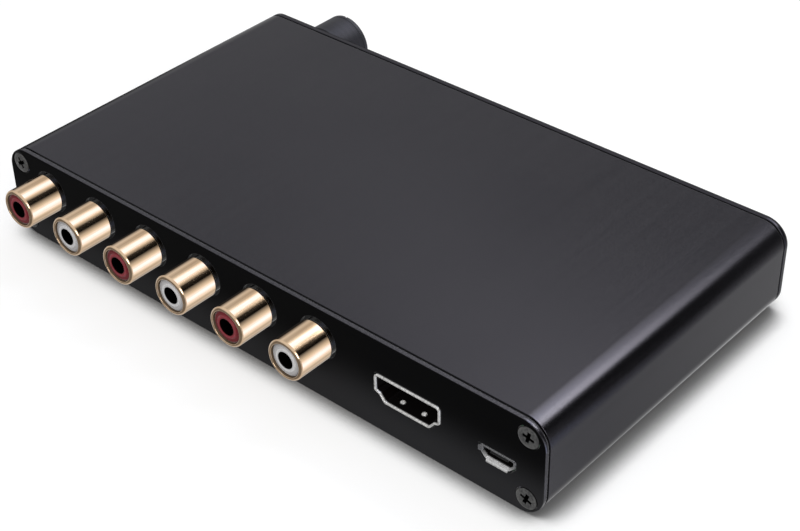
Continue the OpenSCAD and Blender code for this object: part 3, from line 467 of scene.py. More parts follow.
def turned_knob(name):
    """Dyed aluminium, turned: fine rings on its end, drawn lines on its side, and a painted highlight that makes its
    far end paler.
    """
    f = Finish(name, Metallic=0.7, IOR=1.45, Specular_IOR_Level=0.2)
    place = f.place()
    x, y, z = f.axes(place)
    radius = diagonal(x, z)
    rings = f.noise(f.node("ShaderNodeCombineXYZ", sockets={0: radius * 5200.0, 1: y * 900.0}), 1.0, 2.0)
    grain = f.noise(place, 4200.0, 2.0)
    # Painted highlight: the knob turns paler over its far end
    far_end_highlight = f.ease(y, (KNOB_FAR - 1.2) * MM, (KNOB_FAR - 0.7) * MM)
    tone = 0.5 * rings + 0.5 * grain
    skin = f.toned(tone, 0.35, 0.65, "#38383d", "#46464c")
    f.feed("Base Color", f.mixed(far_end_highlight * 0.3, skin, linear("#5a5a60")))
    f.feed("Roughness", f.ease(tone, 0.3, 0.7, 0.4, 0.5))
    f.bump(rings, 0.14, 0.04)
    return f.material


def solder_mask(name):
    """Green board: a lacquer over faint copper runs, with a weave under it."""
    f = Finish(name, IOR=1.5, Specular_IOR_Level=0.5)
    place = f.place()
    runs = f.node("ShaderNodeTexBrick", {"offset": 0.5}, {
        "Vector": place, "Scale": 260.0, "Mortar Size": 0.03, "Color1": grey(0.0),
        "Color2": grey(0.15), "Mortar": WHITE})
    weave = f.noise(place, 1500.0, 2.0)
    green = f.toned(weave, 0.3, 0.7, "#0d3b20", "#14502c")
    f.feed("Base Color", f.mixed(runs, green, linear("#2a7a45")))
    f.feed("Roughness", f.ease(weave, 0.3, 0.7, 0.28, 0.4))
    f.bump(weave, 0.1, 0.03)
    return f.material


def lamp(name):
    """Milky clear resin of a status light, with a cloudy tone."""
    f = Finish(name, IOR=1.5, Specular_IOR_Level=0.5, Roughness=0.16)
    place = f.place()
    cloud = f.noise(place, 700.0, 3.0)
    f.feed("Base Color", f.toned(cloud, 0.3, 0.7, "#b9c6d2", "#e3ebf1"))
    f.bump(cloud, 0.04, 0.03)
    return f.material


# ------------------------------------------------------------------- shapes

def rounded(points, steps):
    """Rounds the corners of a closed outline; each point is x, z and its corner's radius."""
    outline = []
    for i, (x, z, radius) in enumerate(points):
        here = Vector((x, z))
        if radius <= 0:
            outline.append((x, z))
            continue
        before = (Vector(points[i - 1][:2]) - here).normalized()
        after = (Vector(points[(i + 1) % len(points)][:2]) - here).normalized()
        half = before.angle(after) / 2
        start = here + before * radius / math.tan(half)
        end = here + after * radius / math.tan(half)
        middle = here + (before + after).normalized() * radius / math.sin(half)
        low = math.atan2(start.y - middle.y, start.x - middle.x)
        high = math.atan2(end.y - middle.y, end.x - middle.x)
        sweep = (high - low + math.pi) % (2 * math.pi) - math.pi
        for k in range(steps + 1):
            angle = low + sweep * k / steps
            outline.append((middle.x + radius * math.cos(angle), middle.y + radius * math.sin(angle)))
    return outline


def rectangle(width, z0, z1, radius, x=0.0, steps=6):
    """Outline of a rounded rectangle centred on x."""
    half = width / 2
    return rounded([(x - half, z0, radius), (x + half, z0, radius),
                    (x + half, z1, radius), (x - half, z1, radius)], steps)


def circle(x, z, radius, count):
    return [(x + radius * math.cos(2 * math.pi * i / count), z + radius * math.sin(2 * math.pi * i / count))
            for i in range(count)]


def slab(outlines, y0, y1, edge):
    """A flat piece in X and Z with holes, from y0 to y1, with rounded edges, as a mesh."""
    curve = bpy.data.curves.new("outline", "CURVE")
    curve.dimensions = "2D"
    curve.fill_mode = "BOTH"
    for outline in outlines:
        spline = curve.splines.new("POLY")
        spline.points.add(len(outline) - 1)
        for point, (x, z) in zip(spline.points, outline):
            point.co = (x, z, 0.0, 1.0)
        spline.use_cyclic_u = True
    curve.extrude = (y1 - y0) / 2 - edge
    curve.bevel_depth = edge
    curve.bevel_resolution = 2
    curve.offset = -edge
    carrier = bpy.data.objects.new("outline", curve)
    bpy.context.collection.objects.link(carrier)
    mesh = bpy.data.meshes.new_from_object(carrier.evaluated_get(bpy.context.evaluated_depsgraph_get()))
    bpy.data.objects.remove(carrier)
    bpy.data.curves.remove(curve)
    mesh.transform(Matrix.Translation((0, (y0 + y1) / 2, 0)) @ Matrix.Rotation(math.pi / 2, 4, "X"))
    return mesh


def bridged(bm, first, second):
    """Faces between two rings of points; a ring of one point closes an end."""
    count = max(len(first), len(second))
    for i in range(count):
        j = (i + 1) % count
        if len(first) == 1:
            bm.faces.new((first[0], second[j], second[i]))
        elif len(second) == 1:
            bm.faces.new((first[i], first[j], second[0]))
        else:
            bm.faces.new((first[i], first[j], second[j], second[i]))


def revolved(profile, count, closed=True, axis_x=0.0):
    """Turns a profile of radius and depth round the Y axis; a radius of 0 closes an end."""
    bm = bmesh.new()
    rings = []
    for radius, y in profile:
        if radius <= 0:
            rings.append([bm.verts.new((axis_x, y, 0.0))])
            continue
        rings.append([bm.verts.new((x, y, z)) for x, z in circle(axis_x, 0.0, radius, count)])
    for first, second in zip(rings, rings[1:] + (rings[:1] if closed else [])):
        bridged(bm, first, second)
    return baked_mesh(bm)


def as_mesh(bm):
    mesh = bpy.data.meshes.new("shape")
    bm.to_mesh(mesh)
    bm.free()
    return mesh


def baked_mesh(bm):
    bmesh.ops.recalc_face_normals(bm, faces=bm.faces)
    return as_mesh(bm)


def rounded_box(x0, x1, y0, y1, z0, z1, edge, segments=2):
    bm = bmesh.new()
    bmesh.ops.create_cube(bm, size=1.0)
    for v in bm.verts:
        v.co = Vector((x0 + (v.co.x + 0.5) * (x1 - x0), y0 + (v.co.y + 0.5) * (y1 - y0),
                       z0 + (v.co.z + 0.5) * (z1 - z0)))
    bmesh.ops.bevel(bm, geom=bm.edges[:], offset=edge, segments=segments, profile=0.5, affect="EDGES")
    return baked_mesh(bm)


def lofted(loops):
    """A closed skin through loops of equal length; the last joins the first."""
    bm = bmesh.new()
    rings = [[bm.verts.new(p) for p in loop] for loop in loops]
    for first, second in zip(rings, rings[1:] + rings[:1]):
        bridged(bm, first, second)
    return baked_mesh(bm)


def joined(meshes):
    """One mesh from several, which it uses up."""
    bm = bmesh.new()
    for mesh in meshes:
        bm.from_mesh(mesh)
        bpy.data.meshes.remove(mesh)
    bmesh.ops.remove_doubles(bm, verts=bm.verts, dist=1e-5)
    return as_mesh(bm)


def carved(mesh, cutters):
    """Takes the cutters' shapes out of a mesh."""
    body = bpy.data.objects.new("body", mesh)
    bpy.context.collection.objects.link(body)
    tools = []
    for cutter in cutters:
        tool = bpy.data.objects.new("cutter", cutter)
        bpy.context.collection.objects.link(tool)
        modifier = body.modifiers.new("cut", "BOOLEAN")
        modifier.object = tool
        modifier.operation = "DIFFERENCE"
        modifier.solver = "EXACT"
        tools.append(tool)
    bpy.context.view_layer.update()
    result = bpy.data.meshes.new_from_object(body.evaluated_get(bpy.context.evaluated_depsgraph_get()))
    for o in tools + [body]:
        bpy.data.objects.remove(o)
    return result


def piece(name, mesh, finish, body, nodes, at=(0.0, 0.0, 0.0), turn=0.0, sharp=38.0):
    """Makes a visible piece from a mesh in millimetres, shades it and puts it on its body."""
    mesh.transform(Matrix.Scale(MM, 4))
    mesh.name = name
    mesh.materials.clear()
    mesh.materials.append(finish)
    mesh.shade_smooth()
    mesh.set_sharp_from_angle(angle=math.radians(sharp))
    made = bpy.data.objects.new(name, mesh)
    bpy.context.scene.collection.objects.link(made)
    even = made.modifiers.new("even", "WEIGHTED_NORMAL")
    even.keep_sharp = True
    even.weight = 100
    settled = bpy.data.meshes.new_from_object(made.evaluated_get(bpy.context.evaluated_depsgraph_get()))
    made.modifiers.clear()
    made.data = settled
    made.location = Vector(at) * MM
    made.rotation_euler = (0.0, 0.0, math.radians(turn))
    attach(made, body)
    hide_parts(*nodes)


# ------------------------------------------------------------ camera, stage

# The camera fitted to the photo: place in millimetres, angles in degrees, lens and sensor in millimetres
CAMERA_AT = (188.979, -208.03, 205.673)
CAMERA_TURN = 41.656
CAMERA_RISE = 36.208
CAMERA_ROLL = -1.122
LENS = 77.45
SENSOR_W = 36.0

# The floor: its glow, its colour in and out of the shade close to the box, and that shade's reach in metres
FLOOR_GLOW = 0.7
FLOOR_SHADED = 0.24
FLOOR_CLEAR = 0.36
CONTACT = 0.007

# The studio is drawn in the world: its level low down and high up, then soft boxes and black screens, each a pair of
# degrees, which go from straight up towards +X, and a level. The barrels mirror the near ring. The sleeve mirrors the
# far ring, where the soft box is added to what the black screen leaves.
WORLD_LOW = 0.66
WORLD_HIGH = 0.78
NEAR_RING = [(-150, 0.5), (-136, 0.02), (-94, 0.02), (-64, 0.75), (-42, 0.52), (-28, 0.65), (-6, 1.65), (6, 1.6),
             (27, 0.55), (37, 0.03), (61, 0.0), (84, 0.7), (116, 1.65), (126, 1.55), (158, 0.6), (180, 0.75)]
NEAR_BRIGHTEST = 2.0
SOFT_BOX = [(-60, 0.0), (-48, 0.15), (-38, 0.5), (-32, 0.9), (-20, 3.8), (2, 6.6), (16, 12.0), (30, 12.0), (38, 2.0),
            (45, 0.0)]
SOFT_BRIGHTEST = 12.0
BLACK_SCREEN = [(38, 1.0), (46, 0.1), (52, 0.0), (96, 0.0), (112, 0.25), (130, 0.5), (150, 0.62), (180, 0.8)]
COOL_LIGHT = (0.95, 1.05, 1.4, 1.0)

# The one lamp: place and size in metres, power in watts
LAMP_AT = (0.62, -0.34, 0.42)
LAMP_SIZE = 0.4
LAMP_POWER = 2.0


def set_camera():
    turn, rise, roll = (math.radians(angle) for angle in (CAMERA_TURN, CAMERA_RISE, CAMERA_ROLL))
    back = Vector((math.sin(turn) * math.cos(rise), -math.cos(turn) * math.cos(rise), math.sin(rise)))
    right = Vector((math.cos(turn), math.sin(turn), 0.0))
    up = back.cross(right)
    across = right * math.cos(roll) + up * math.sin(roll)
    above = up * math.cos(roll) - right * math.sin(roll)
    data = bpy.data.cameras.new("camera")
    data.sensor_width = SENSOR_W
    data.lens = LENS
    data.clip_start = 0.01
    made = bpy.data.objects.new("camera", data)
    bpy.context.scene.collection.objects.link(made)
    rows = [(across[i], above[i], back[i], CAMERA_AT[i] * MM) for i in range(3)]
    made.matrix_world = Matrix(rows + [(0.0, 0.0, 0.0, 1.0)])
    bpy.context.scene.camera = made


def rays(f, *kinds):
    """For each kind of ray 1 on rays of that kind, 0 on others."""
    path = f.node("ShaderNodeLightPath").socket.node.outputs
    return [Wire(f, path[f"Is {kind} Ray"]) for kind in kinds]


def set_floor():
    """White for camera, glossy and transmission rays, with the object's shadow close to it."""
    f = Finish("floor_white")
    open_share = f.node("ShaderNodeAmbientOcclusion", {"samples": 12}, {"Distance": CONTACT}, out=1)
    clear = f.ease(open_share, 0.48, 0.9)
    camera, glossy, through = rays(f, "Camera", "Glossy", "Transmission")
    seen = camera.at_least(glossy).at_least(through)
    paper = f.node("ShaderNodeBsdfDiffuse", sockets={"Color": f.mixed(clear, grey(FLOOR_SHADED), grey(FLOOR_CLEAR))})
    glow = f.node("ShaderNodeEmission", sockets={"Color": WHITE, "Strength": seen * clear * FLOOR_GLOW})
    f.output(f.node("ShaderNodeAddShader", sockets={0: paper, 1: glow}).socket)
    bm = bmesh.new()
    bmesh.ops.create_grid(bm, x_segments=1, y_segments=1, size=4.0)
    floor = bpy.data.objects.new("floor", baked_mesh(bm))
    floor.data.materials.append(f.material)
    bpy.context.scene.collection.objects.link(floor)


def ring(levels, top=1.0):
    """Stops of a colour ramp for lights or screens round the studio, as shares of the top level."""
    return [(angle / 360 + 0.5, grey(level / top)) for angle, level in levels]


def set_world():
    """White for the camera, a studio for all else; z is up and y points away from the jacks."""
    world = bpy.data.worlds.new("studio")
    world.use_nodes = True
    bpy.context.scene.world = world
    w = Finish("studio", world.node_tree)
    camera, glossy = rays(w, "Camera", "Glossy")
    x, y, z = w.axes(w.node("ShaderNodeTexCoord", out="Generated"))
    studio = w.ease(z, 0.4, 0.7, WORLD_LOW, WORLD_HIGH)
    # Mirror images of the side with the jacks get a dim lower half
    studio = studio * (1.0 - glossy * w.ease(y, -0.1, -0.5, 0.0, 0.72) * w.ease(z, 0.1, 0.4, 1.0, 0.0))

    turn = x.reckon("ARCTAN2", x, z) / (2 * math.pi) + 0.5
    near = NEAR_BRIGHTEST * w.ramp(turn, ring(NEAR_RING, NEAR_BRIGHTEST))
    box = SOFT_BRIGHTEST * w.ramp(turn, ring(SOFT_BOX, SOFT_BRIGHTEST))
    screen = w.ramp(turn, ring(BLACK_SCREEN))
    high = w.ease(y, 0.6, 0.74, 0.86, 0.7)
    low = w.ease(y, 0.6, 0.74, 0.75, 1.4)
    deep = studio * (high + (low - high) * w.ease(z, -0.2, 0.1, 1.0, 0.0))
    far = deep * (1.0 - (1.0 - screen) * w.ease(y, 0.7, 0.86, 1.0, 0.0)) + box * w.ease(y, 0.575, 0.7, 1.0, 0.0)

    in_rings = w.ease(y, 0.34, 0.42)
    in_far = w.ease(y, 0.55, 0.6)
    level = studio + (near + (far - near) * in_far - studio) * in_rings
    strength = camera + (1.0 - camera) * level
    cool = w.ease(near, 0.9, 1.65) * in_rings * (1.0 - in_far) * (1.0 - camera)
    sky = w.node("ShaderNodeBackground", sockets={"Color": w.mixed(cool, WHITE, COOL_LIGHT), "Strength": strength})
    w.end = w.tree.nodes.new("ShaderNodeOutputWorld")
    w.output(sky.socket)


def set_lamp():
    data = bpy.data.lights.new("soft_right", "AREA")
    data.shape = "RECTANGLE"
    data.size = data.size_y = LAMP_SIZE
    data.energy = LAMP_POWER
    lamp_object = bpy.data.objects.new("soft_right", data)
    lamp_object.location = LAMP_AT
    aim = Vector(LAMP_AT) - Vector((0.0, 0.0, 0.01))
    lamp_object.rotation_euler = aim.to_track_quat("Z", "Y").to_euler()
    bpy.context.scene.collection.objects.link(lamp_object)


set_camera()
set_floor()
set_world()
set_lamp()

# -------------------------------------------------------- places, finishes


def centre_x(node):
    """Middle of a node across the box, in millimetres."""
    low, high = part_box(node)
    return (low.x + high.x) / 2 / MM


JACK_X = [centre_x(f"jack_shell_{i}") for i in range(1, 7)]
VIDEO_OUT_X = centre_x("video_output_shell")
VIDEO_IN_X = centre_x("video_input_shell")
POWER_X = centre_x("power_socket_shell")
KNOB_X = centre_x("volume_knob")
KNOB_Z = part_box("volume_knob")[1].z / MM - KNOB_R
PHONES_X = centre_x("headphone_socket")
PHONES_Z = BOARD_TOP + PHONES_UP
SWITCH_X = centre_x("mode_switch_frame")
SWITCH_Z = BOARD_TOP + SWITCH_UP
LIGHT_Z = BOARD_TOP + LIGHT_UP
OPTICAL_X = centre_x("optical_socket")

black_plate = plate_gloss("black_plate")
# The case skin's last colour is the painted light towards the jacks
case_skin = anodised("case_skin", "#3b3a40", "#454449", "#504f55")
gold = barrel_gold("barrel_gold")
# The last colour of each core is its painted highlight ring
red_core = insulator("red_core", "#76191f", "#842029", "#a8454e")
white_core = insulator("white_core", "#bdbaba", "#dddbdb", "#f4f3f3")
video_sheet = nickel("video_sheet", -0.12, 0.3, rim="#fcfbf9", dimples=True)
# The power sheet is painted darker as shade towards its top, over 1.6 mm
power_sheet = nickel("power_sheet", 0.55, 1.0, rim="#dededf", top_shade_height=1.6)
screw_steel = screw_metal("screw_steel")
black_plastic = moulded("black_plastic", "#121213", "#1c1c1e")
contact_leaf = plated("contact_leaf", "#b98f4e", "#dcb877", 0.22)
# Painted shade: the brass jack contacts get a near-black skin with almost no gloss, standing for the shade deep in
# the pin holes
bore_bronze = moulded("bore_bronze", "#0a0704", "#16100a", 0.6, gloss=0.03)
knob_skin = turned_knob("knob_skin")
shaft_steel = plated("shaft_steel", "#8d8d92", "#b5b5ba", 0.28)
pot_skin = moulded("pot_skin", "#1d3526", "#294a35")
lamp_resin = lamp("lamp_resin")
tin = plated("tin", "#98989c", "#c2c2c6", 0.3)
shutter_skin = moulded("shutter_skin", "#1a1a1c", "#28282b", 0.42)
emitter_resin = moulded("emitter_resin", "#3a0a0e", "#5a1218", 0.25, 500.0, 0.04)
lever_skin = moulded("lever_skin", "#cfccc6", "#e6e3dd", 0.45)
chip_resin = moulded("chip_resin", "#161617", "#232325", 0.55, 1400.0, 0.2)
can_metal = plated("can_metal", "#a3a3a8", "#cbcbd0", 0.24)
ferrite_skin = moulded("ferrite_skin", "#26262a", "#38383d", 0.6, 1600.0, 0.25)
board_skin = solder_mask("board_skin")
frame_metal = plated("frame_metal", "#9b9ba0", "#c6c6ca", 0.3)

# --------------------------------------------------------------------- case


def mirrored(points):
    """Closes a half outline, drawn on its +X side, with its mirror image."""
    return points + [(-x, *rest) for x, *rest in reversed(points)]


def port_arc(z, low, high, steps=10):
    """Part of a screw port's wall, by its angles in degrees."""
    angles = [math.radians(low + (high - low) * k / steps) for k in range(steps + 1)]
    return [(SCREW_X + PORT_R * math.cos(a), z + PORT_R * math.sin(a)) for a in angles]


def sleeve_mesh():
    """The extrusion with board slots and screw ports, and a shadow groove at each end."""
    inner_x = CASE_W / 2 - WALL
    rail_x = inner_x - RAIL_REACH
    port_foot_x = SCREW_X - 1.08
    half = ([(port_foot_x, WALL)] + port_arc(SCREW_Z[0], 239, 76)
            + [(rail_x, SLOT_FLOOR), (inner_x, SLOT_FLOOR), (inner_x, SLOT_ROOF), (rail_x, SLOT_ROOF),
               (rail_x, RAIL_TOP), (inner_x, RAIL_TOP), (inner_x, SCREW_Z[1] - 0.2)]
            + port_arc(SCREW_Z[1], 357, 121) + [(port_foot_x, CASE_H - WALL)])
    holes = [mirrored(half)] + [circle(side * SCREW_X, z, SHANK_R + 0.03, 32) for side in (-1, 1) for z in SCREW_Z]
    y0 = REAR_Y + PLATE_T
    y1 = FRONT_Y - PLATE_T
    outer = rectangle(CASE_W, 0.0, CASE_H, EDGE_R, steps=20)
    inset = rectangle(CASE_W - 2 * SEAM_DEPTH, SEAM_DEPTH, CASE_H - SEAM_DEPTH, EDGE_R - SEAM_DEPTH, steps=20)
    return joined([slab([outer] + holes, y0 + SEAM_W, y1 - SEAM_W, 0.12),
                   slab([inset] + holes, y0, y0 + SEAM_W, HIDDEN_EDGE),
                   slab([inset] + holes, y1 - SEAM_W, y1, HIDDEN_EDGE)])


piece("case_sleeve", sleeve_mesh(), case_skin, "case", ["enclosure_sleeve"])


def video_outline(grow=0.0, corner=0.9):
    """Outline of the flat video plug's socket, larger all round by grow."""
    w, h = VIDEO_W + 2 * grow, VIDEO_H + 2 * grow
    radii = (0.5, 0.45, 0.5, 0.6)
    side = [(sx * w, sz * h - grow, r) for (sx, sz), r in zip(VIDEO_SIDE, radii)]
    return rounded(mirrored([(w / 2, h - grow, corner)] + side), 5)


def power_outline(grow=0.0, corner=0.35):
    """Outline of the power plug's socket, larger all round by grow."""
    w, h = POWER_W + 2 * grow, POWER_H + 2 * grow
    return rounded(mirrored([(sx * w, sz * h - grow, corner) for sx, sz in POWER_SIDE]), 4)


def shifted(outline, x, z):
    return [(px + x, pz + z) for px, pz in outline]


VIDEO_HOLE = video_outline(0.2)
POWER_HOLE = power_outline(0.36)
PLATE = rectangle(CASE_W, 0.0, CASE_H, EDGE_R, steps=20)
SCREW_HOLES = [circle(side * SCREW_X, z, SCREW_HEAD_R + 0.16, 64) for side in (-1, 1) for z in SCREW_Z]
rear_holes = SCREW_HOLES + [circle(x, JACK_Z, BARREL_R + 0.35, 80) for x in JACK_X]
rear_holes += [shifted(VIDEO_HOLE, VIDEO_OUT_X, BOARD_TOP), shifted(POWER_HOLE, POWER_X, BOARD_TOP)]
piece("rear_plate", slab([PLATE] + rear_holes, REAR_Y, REAR_Y + PLATE_T, PLATE_EDGE), black_plate,
      "case", ["rear_panel"])

front_holes = SCREW_HOLES + [
    circle(KNOB_X, KNOB_Z, BUSH_HOLE_R, 64), circle(PHONES_X, PHONES_Z, PHONES_R + 0.1, 64),
    rectangle(6.3, SWITCH_Z - 1.15, SWITCH_Z + 1.15, 0.3, SWITCH_X),
    rectangle(OPTICAL_W + 0.4, BOARD_TOP - 0.2, BOARD_TOP + OPTICAL_H + 0.2, 0.4, OPTICAL_X),
    shifted(VIDEO_HOLE, VIDEO_IN_X, BOARD_TOP)]
front_holes += [circle(x, LIGHT_Z, LIGHT_R + 0.1, 40) for x in LIGHT_X]
piece("front_plate", slab([PLATE] + front_holes, FRONT_Y - PLATE_T, FRONT_Y, PLATE_EDGE), black_plate,
      "case", ["front_panel"])


def cross_arm(turn):
    """One arm of the cross recess, wide at the head's face and narrow at its foot."""
    top_y, foot_y = -1.0, 0.95
    top_long, top_wide = 3.2, 0.98
    foot_long, foot_wide = 1.7, 0.5
    bm = bmesh.new()
    bmesh.ops.create_cube(bm, size=1.0)
    for v in bm.verts:
        if v.co.y > 0:
            v.co = Vector((v.co.x * foot_long, foot_y, v.co.z * foot_wide))
        else:
            v.co = Vector((v.co.x * top_long, top_y, v.co.z * top_wide))
    bmesh.ops.rotate(bm, verts=bm.verts, matrix=Matrix.Rotation(math.radians(turn), 3, "Y"))
    return baked_mesh(bm)


def screw_mesh():
    """A domed head on a countersink, its shank and its cross recess."""
    r = SCREW_HEAD_R
    head = revolved([(0.0, -0.16), (r * 0.6, -0.15), (r * 0.86, -0.1), (r * 0.96, -0.03), (r, 0.06), (r, 0.12),
                     (SHANK_R, PLATE_T), (SHANK_R, SCREW_D - 0.3), (SHANK_R - 0.3, SCREW_D), (0.0, SCREW_D)],
                    64, closed=False)
    return carved(head, [cross_arm(0), cross_arm(90)])


def screw_set(face_y, turn, spins):
    """The four screws of a plate; spins are the places in degrees at which each came to rest."""
    meshes = []
    for (side, z), spin in zip([(s, z) for s in (-1, 1) for z in SCREW_Z], spins):
        mesh = screw_mesh()
        mesh.transform(Matrix.Rotation(math.radians(spin), 4, "Y"))
        mesh.transform(Matrix.Translation((side * SCREW_X, face_y, z))
                       @ Matrix.Rotation(math.radians(turn), 4, "Z"))
        meshes.append(mesh)
    return joined(meshes)


piece("rear_screw_set", screw_set(REAR_Y, 0, (15, 62, 20, 12)), screw_steel, "case",
      ["rear_screws"], sharp=30)
piece("front_screw_set", screw_set(FRONT_Y, 180, (40, 8, 71, 33)), screw_steel, "case",
      ["front_screws"], sharp=30)

# -------------------------------------------------------------------- jacks


def barrel_mesh():
    """A jack's barrel, rounded at its lip, with its lug behind the plate."""
    out = -BARREL_OUT
    seat = 3.1
    profile = rounded([
        (BARREL_R, -BARREL_ROOT, 0.1), (BARREL_R, out, 0.55), (BARREL_BORE_R, out, 0.12),
        (BARREL_BORE_R, seat, 0.0), (BARREL_SEAT_R, seat, 0.0), (BARREL_SEAT_R, -BARREL_ROOT, 0.0)], 7)
    lug = rounded_box(-1.2, 1.2, PLATE_T, PLATE_T + 0.35, -6.4, -BARREL_BORE_R - 0.02, 0.08)
    return joined([revolved(profile, 128), lug])


def core_mesh():
    """An insulator: a raised collar round the pin hole, a step and a bevelled rim."""
    face = -BARREL_OUT + 0.25
    back = 5.1
    rim_r = BARREL_BORE_R - 0.02
    profile = rounded([
        (PIN_HOLE_R, face, 0.14), (2.35, face, 0.12), (2.5, face + 0.22, 0.08), (3.12, face + 0.22, 0.05),
        (rim_r, face + 0.45, 0.08), (rim_r, back, 0.0), (PIN_HOLE_R, back, 0.0)], 5)
    return revolved(profile, 96)


for i, jack_x in enumerate(JACK_X, 1):
    spot = (jack_x, REAR_Y, JACK_Z)
    core, core_slot = (red_core, "insulator_red") if i % 2 == 1 else (white_core, "insulator_white")
    piece(f"barrel_{i}", barrel_mesh(), gold, "case", [f"jack_shell_{i}"], spot, sharp=50)
    piece(f"core_{i}", core_mesh(), core, "case", [f"jack_insulator_{i}"], spot, sharp=50)

# ------------------------------------------------------------ video, power


def ring_loop(outline, y):
    """An outline's points at the depth y."""
    return [(x, y, z) for x, z in outline]


def video_shell_mesh():
    """Folded sheet with a rounded rim, a back and two spring dimples on its floor."""
    outer = video_outline()
    inner = video_outline(-VIDEO_T, 0.5)
    mid = video_outline(-VIDEO_T / 2, 0.7)
    crest = -0.3
    wall = lofted([ring_loop(outer, VIDEO_D), ring_loop(outer, crest + 0.14),
                   ring_loop(video_outline(-0.05), crest + 0.04), ring_loop(mid, crest),
                   ring_loop(video_outline(0.05 - VIDEO_T, 0.5), crest + 0.04), ring_loop(inner, crest + 0.14),
                   ring_loop(inner, VIDEO_D)])
    back = slab([inner], VIDEO_D - VIDEO_T, VIDEO_D, 0.03)
    dimples = []
    for side in (-1, 1):
        dimple = revolved([(0.0, 0.42), (0.28, 0.38), (0.46, 0.24), (0.56, 0.0), (0.0, -0.05)], 24, closed=False)
        dimple.transform(Matrix.Rotation(math.pi / 2, 4, "X"))
        dimple.transform(Matrix.Translation((side * DIMPLE_X, DIMPLE_Y, VIDEO_T)))
        dimples.append(dimple)
    return joined([wall, back] + dimples)


def tongue_mesh():
    return rounded_box(-5.5, 5.5, 2.4, VIDEO_D - VIDEO_T, 2.7, 4.3, 0.18, 3)


for node, x, y, turn in (("video_output", VIDEO_OUT_X, REAR_Y, 0.0), ("video_input", VIDEO_IN_X, FRONT_Y, 180.0)):
    piece(f"{node}_sheet", video_shell_mesh(), video_sheet, "case", [f"{node}_shell"],
          (x, y, BOARD_TOP), turn)
    piece(f"{node}_blade", tongue_mesh(), black_plastic, "case", [f"{node}_tongue"],
          (x, y, BOARD_TOP), turn)


def flare(a, b, out_dir, reach, depth):
    """A lip along the socket's edge from a to b that curls out in the direction out_dir."""
    t = POWER_T * 0.85
    lean = Vector(out_dir).normalized()
    start, end = Vector(a), Vector(b)
    path = [(depth, 0.0), (depth * 0.72, 0.04), (depth * 0.45, 0.22), (depth * 0.2, 0.58), (0.0, 1.0)]
    rings = []
    bm = bmesh.new()
    for share, narrow in ((0.0, 0.86), (0.04, 0.97), (0.5, 1.0), (0.96, 0.97), (1.0, 0.86)):
        spot = start + (end - start) * share
        outer = [(spot + lean * reach * rise * narrow, y) for y, rise in path]
        inner = [(spot + lean * (reach * rise * narrow - t), y) for y, rise in reversed(path)]
        rings.append([bm.verts.new((p.x, y - LIP_PROUD, p.y)) for p, y in outer + inner])
    for first, second in zip(rings, rings[1:]):
        bridged(bm, first, second)
    bm.faces.new(rings[0])
    bm.faces.new(reversed(rings[-1]))
    return baked_mesh(bm)


def power_shell_mesh():
    """Folded sheet with a back and four flared lips."""
    outer = power_outline()
    inner = power_outline(-POWER_T, 0.2)
    wall = lofted([ring_loop(outer, POWER_D), ring_loop(outer, 0.2),
                   ring_loop(power_outline(-POWER_T / 2, 0.3), 0.1), ring_loop(inner, 0.2),
                   ring_loop(inner, POWER_D)])
    back = slab([inner], POWER_D - POWER_T, POWER_D, HIDDEN_EDGE)
    top = POWER_W * 0.44
    low = POWER_W * 0.31
    side = POWER_W / 2
    lips = [flare((-top, POWER_H), (top, POWER_H), (0, 1), 0.26, 0.5),
            flare((low, 0), (-low, 0), (0, -1), 0.42, 0.8),
            flare((side, POWER_H * 0.9), (side, POWER_H * 0.5), (1, 0), 0.32, 0.5),
            flare((-side, POWER_H * 0.5), (-side, POWER_H * 0.9), (-1, 0), 0.32, 0.5)]
    return joined([wall, back] + lips)


piece("power_sheet_metal", power_shell_mesh(), power_sheet, "case", ["power_socket_shell"],
      (POWER_X, REAR_Y, BOARD_TOP))
piece("power_blade", rounded_box(-1.9, 1.9, 0.6, POWER_D - POWER_T, 1.3, 1.9, 0.12), black_plastic, "case",
      ["power_socket_tongue"], (POWER_X, REAR_Y, BOARD_TOP))

# ----------------------------------------------------------------- controls


def knob_mesh():
    """A dished end, a fine groove round the side, a pointer slot and a recess over the shaft's nut."""
    far, near = KNOB_FAR, KNOB_NEAR
    dish = far - 0.12
    groove_r = KNOB_R - 0.12
    recess_r, recess = 4.23, near + 0.9
    profile = rounded([
        (0.0, dish, 0.0), (4.9, dish, 0.08), (5.15, far, 0.08), (KNOB_R, far, 0.38),
        (KNOB_R, far - 1.05, 0.05), (groove_r, far - 1.15, 0.03), (groove_r, far - 1.3, 0.03),
        (KNOB_R, far - 1.4, 0.05), (KNOB_R, near, 0.25), (recess_r, near, 0.1), (recess_r, recess, 0.05),
        (0.0, recess, 0.0)], 4)
    body = revolved(profile, 128, closed=False)
    pointer = rounded_box(-0.35, 0.35, far - 0.5, far + 1.0, 2.6, KNOB_R + 1.0, 0.02, 1)
    return carved(body, [pointer])


# The knob's own frame has the face of the front plate at 0 and +Y outwards
piece("knob", knob_mesh(), knob_skin, "knob", ["volume_knob"], (KNOB_X, FRONT_Y, KNOB_Z), sharp=30)


def phones_mesh():
    bore_r, bore_d = 1.8, 13.6
    nose_end = 1.6
    core = circle(0, 0, 2.9, 48)
    nose = revolved(rounded([(bore_r, -0.4, 0.12), (PHONES_R, -0.4, 0.18), (PHONES_R, nose_end, 0.0),
                             (bore_r, nose_end, 0.0)], 5), 80)
    tube = revolved([(bore_r, nose_end), (3.2, nose_end), (3.2, bore_d), (bore_r, bore_d)], 48)
    box = slab([rectangle(7.0, -PHONES_UP, 3.2, 0.4), core], PLATE_T, PLATE_T + 14.0, 0.15)
    cap = slab([core], bore_d, 15.0, 0.1)
    return joined([nose, tube, box, cap])


piece("headphone_jack", phones_mesh(), black_plastic, "case", ["headphone_socket"],
      (PHONES_X, FRONT_Y, PHONES_Z), 180.0)


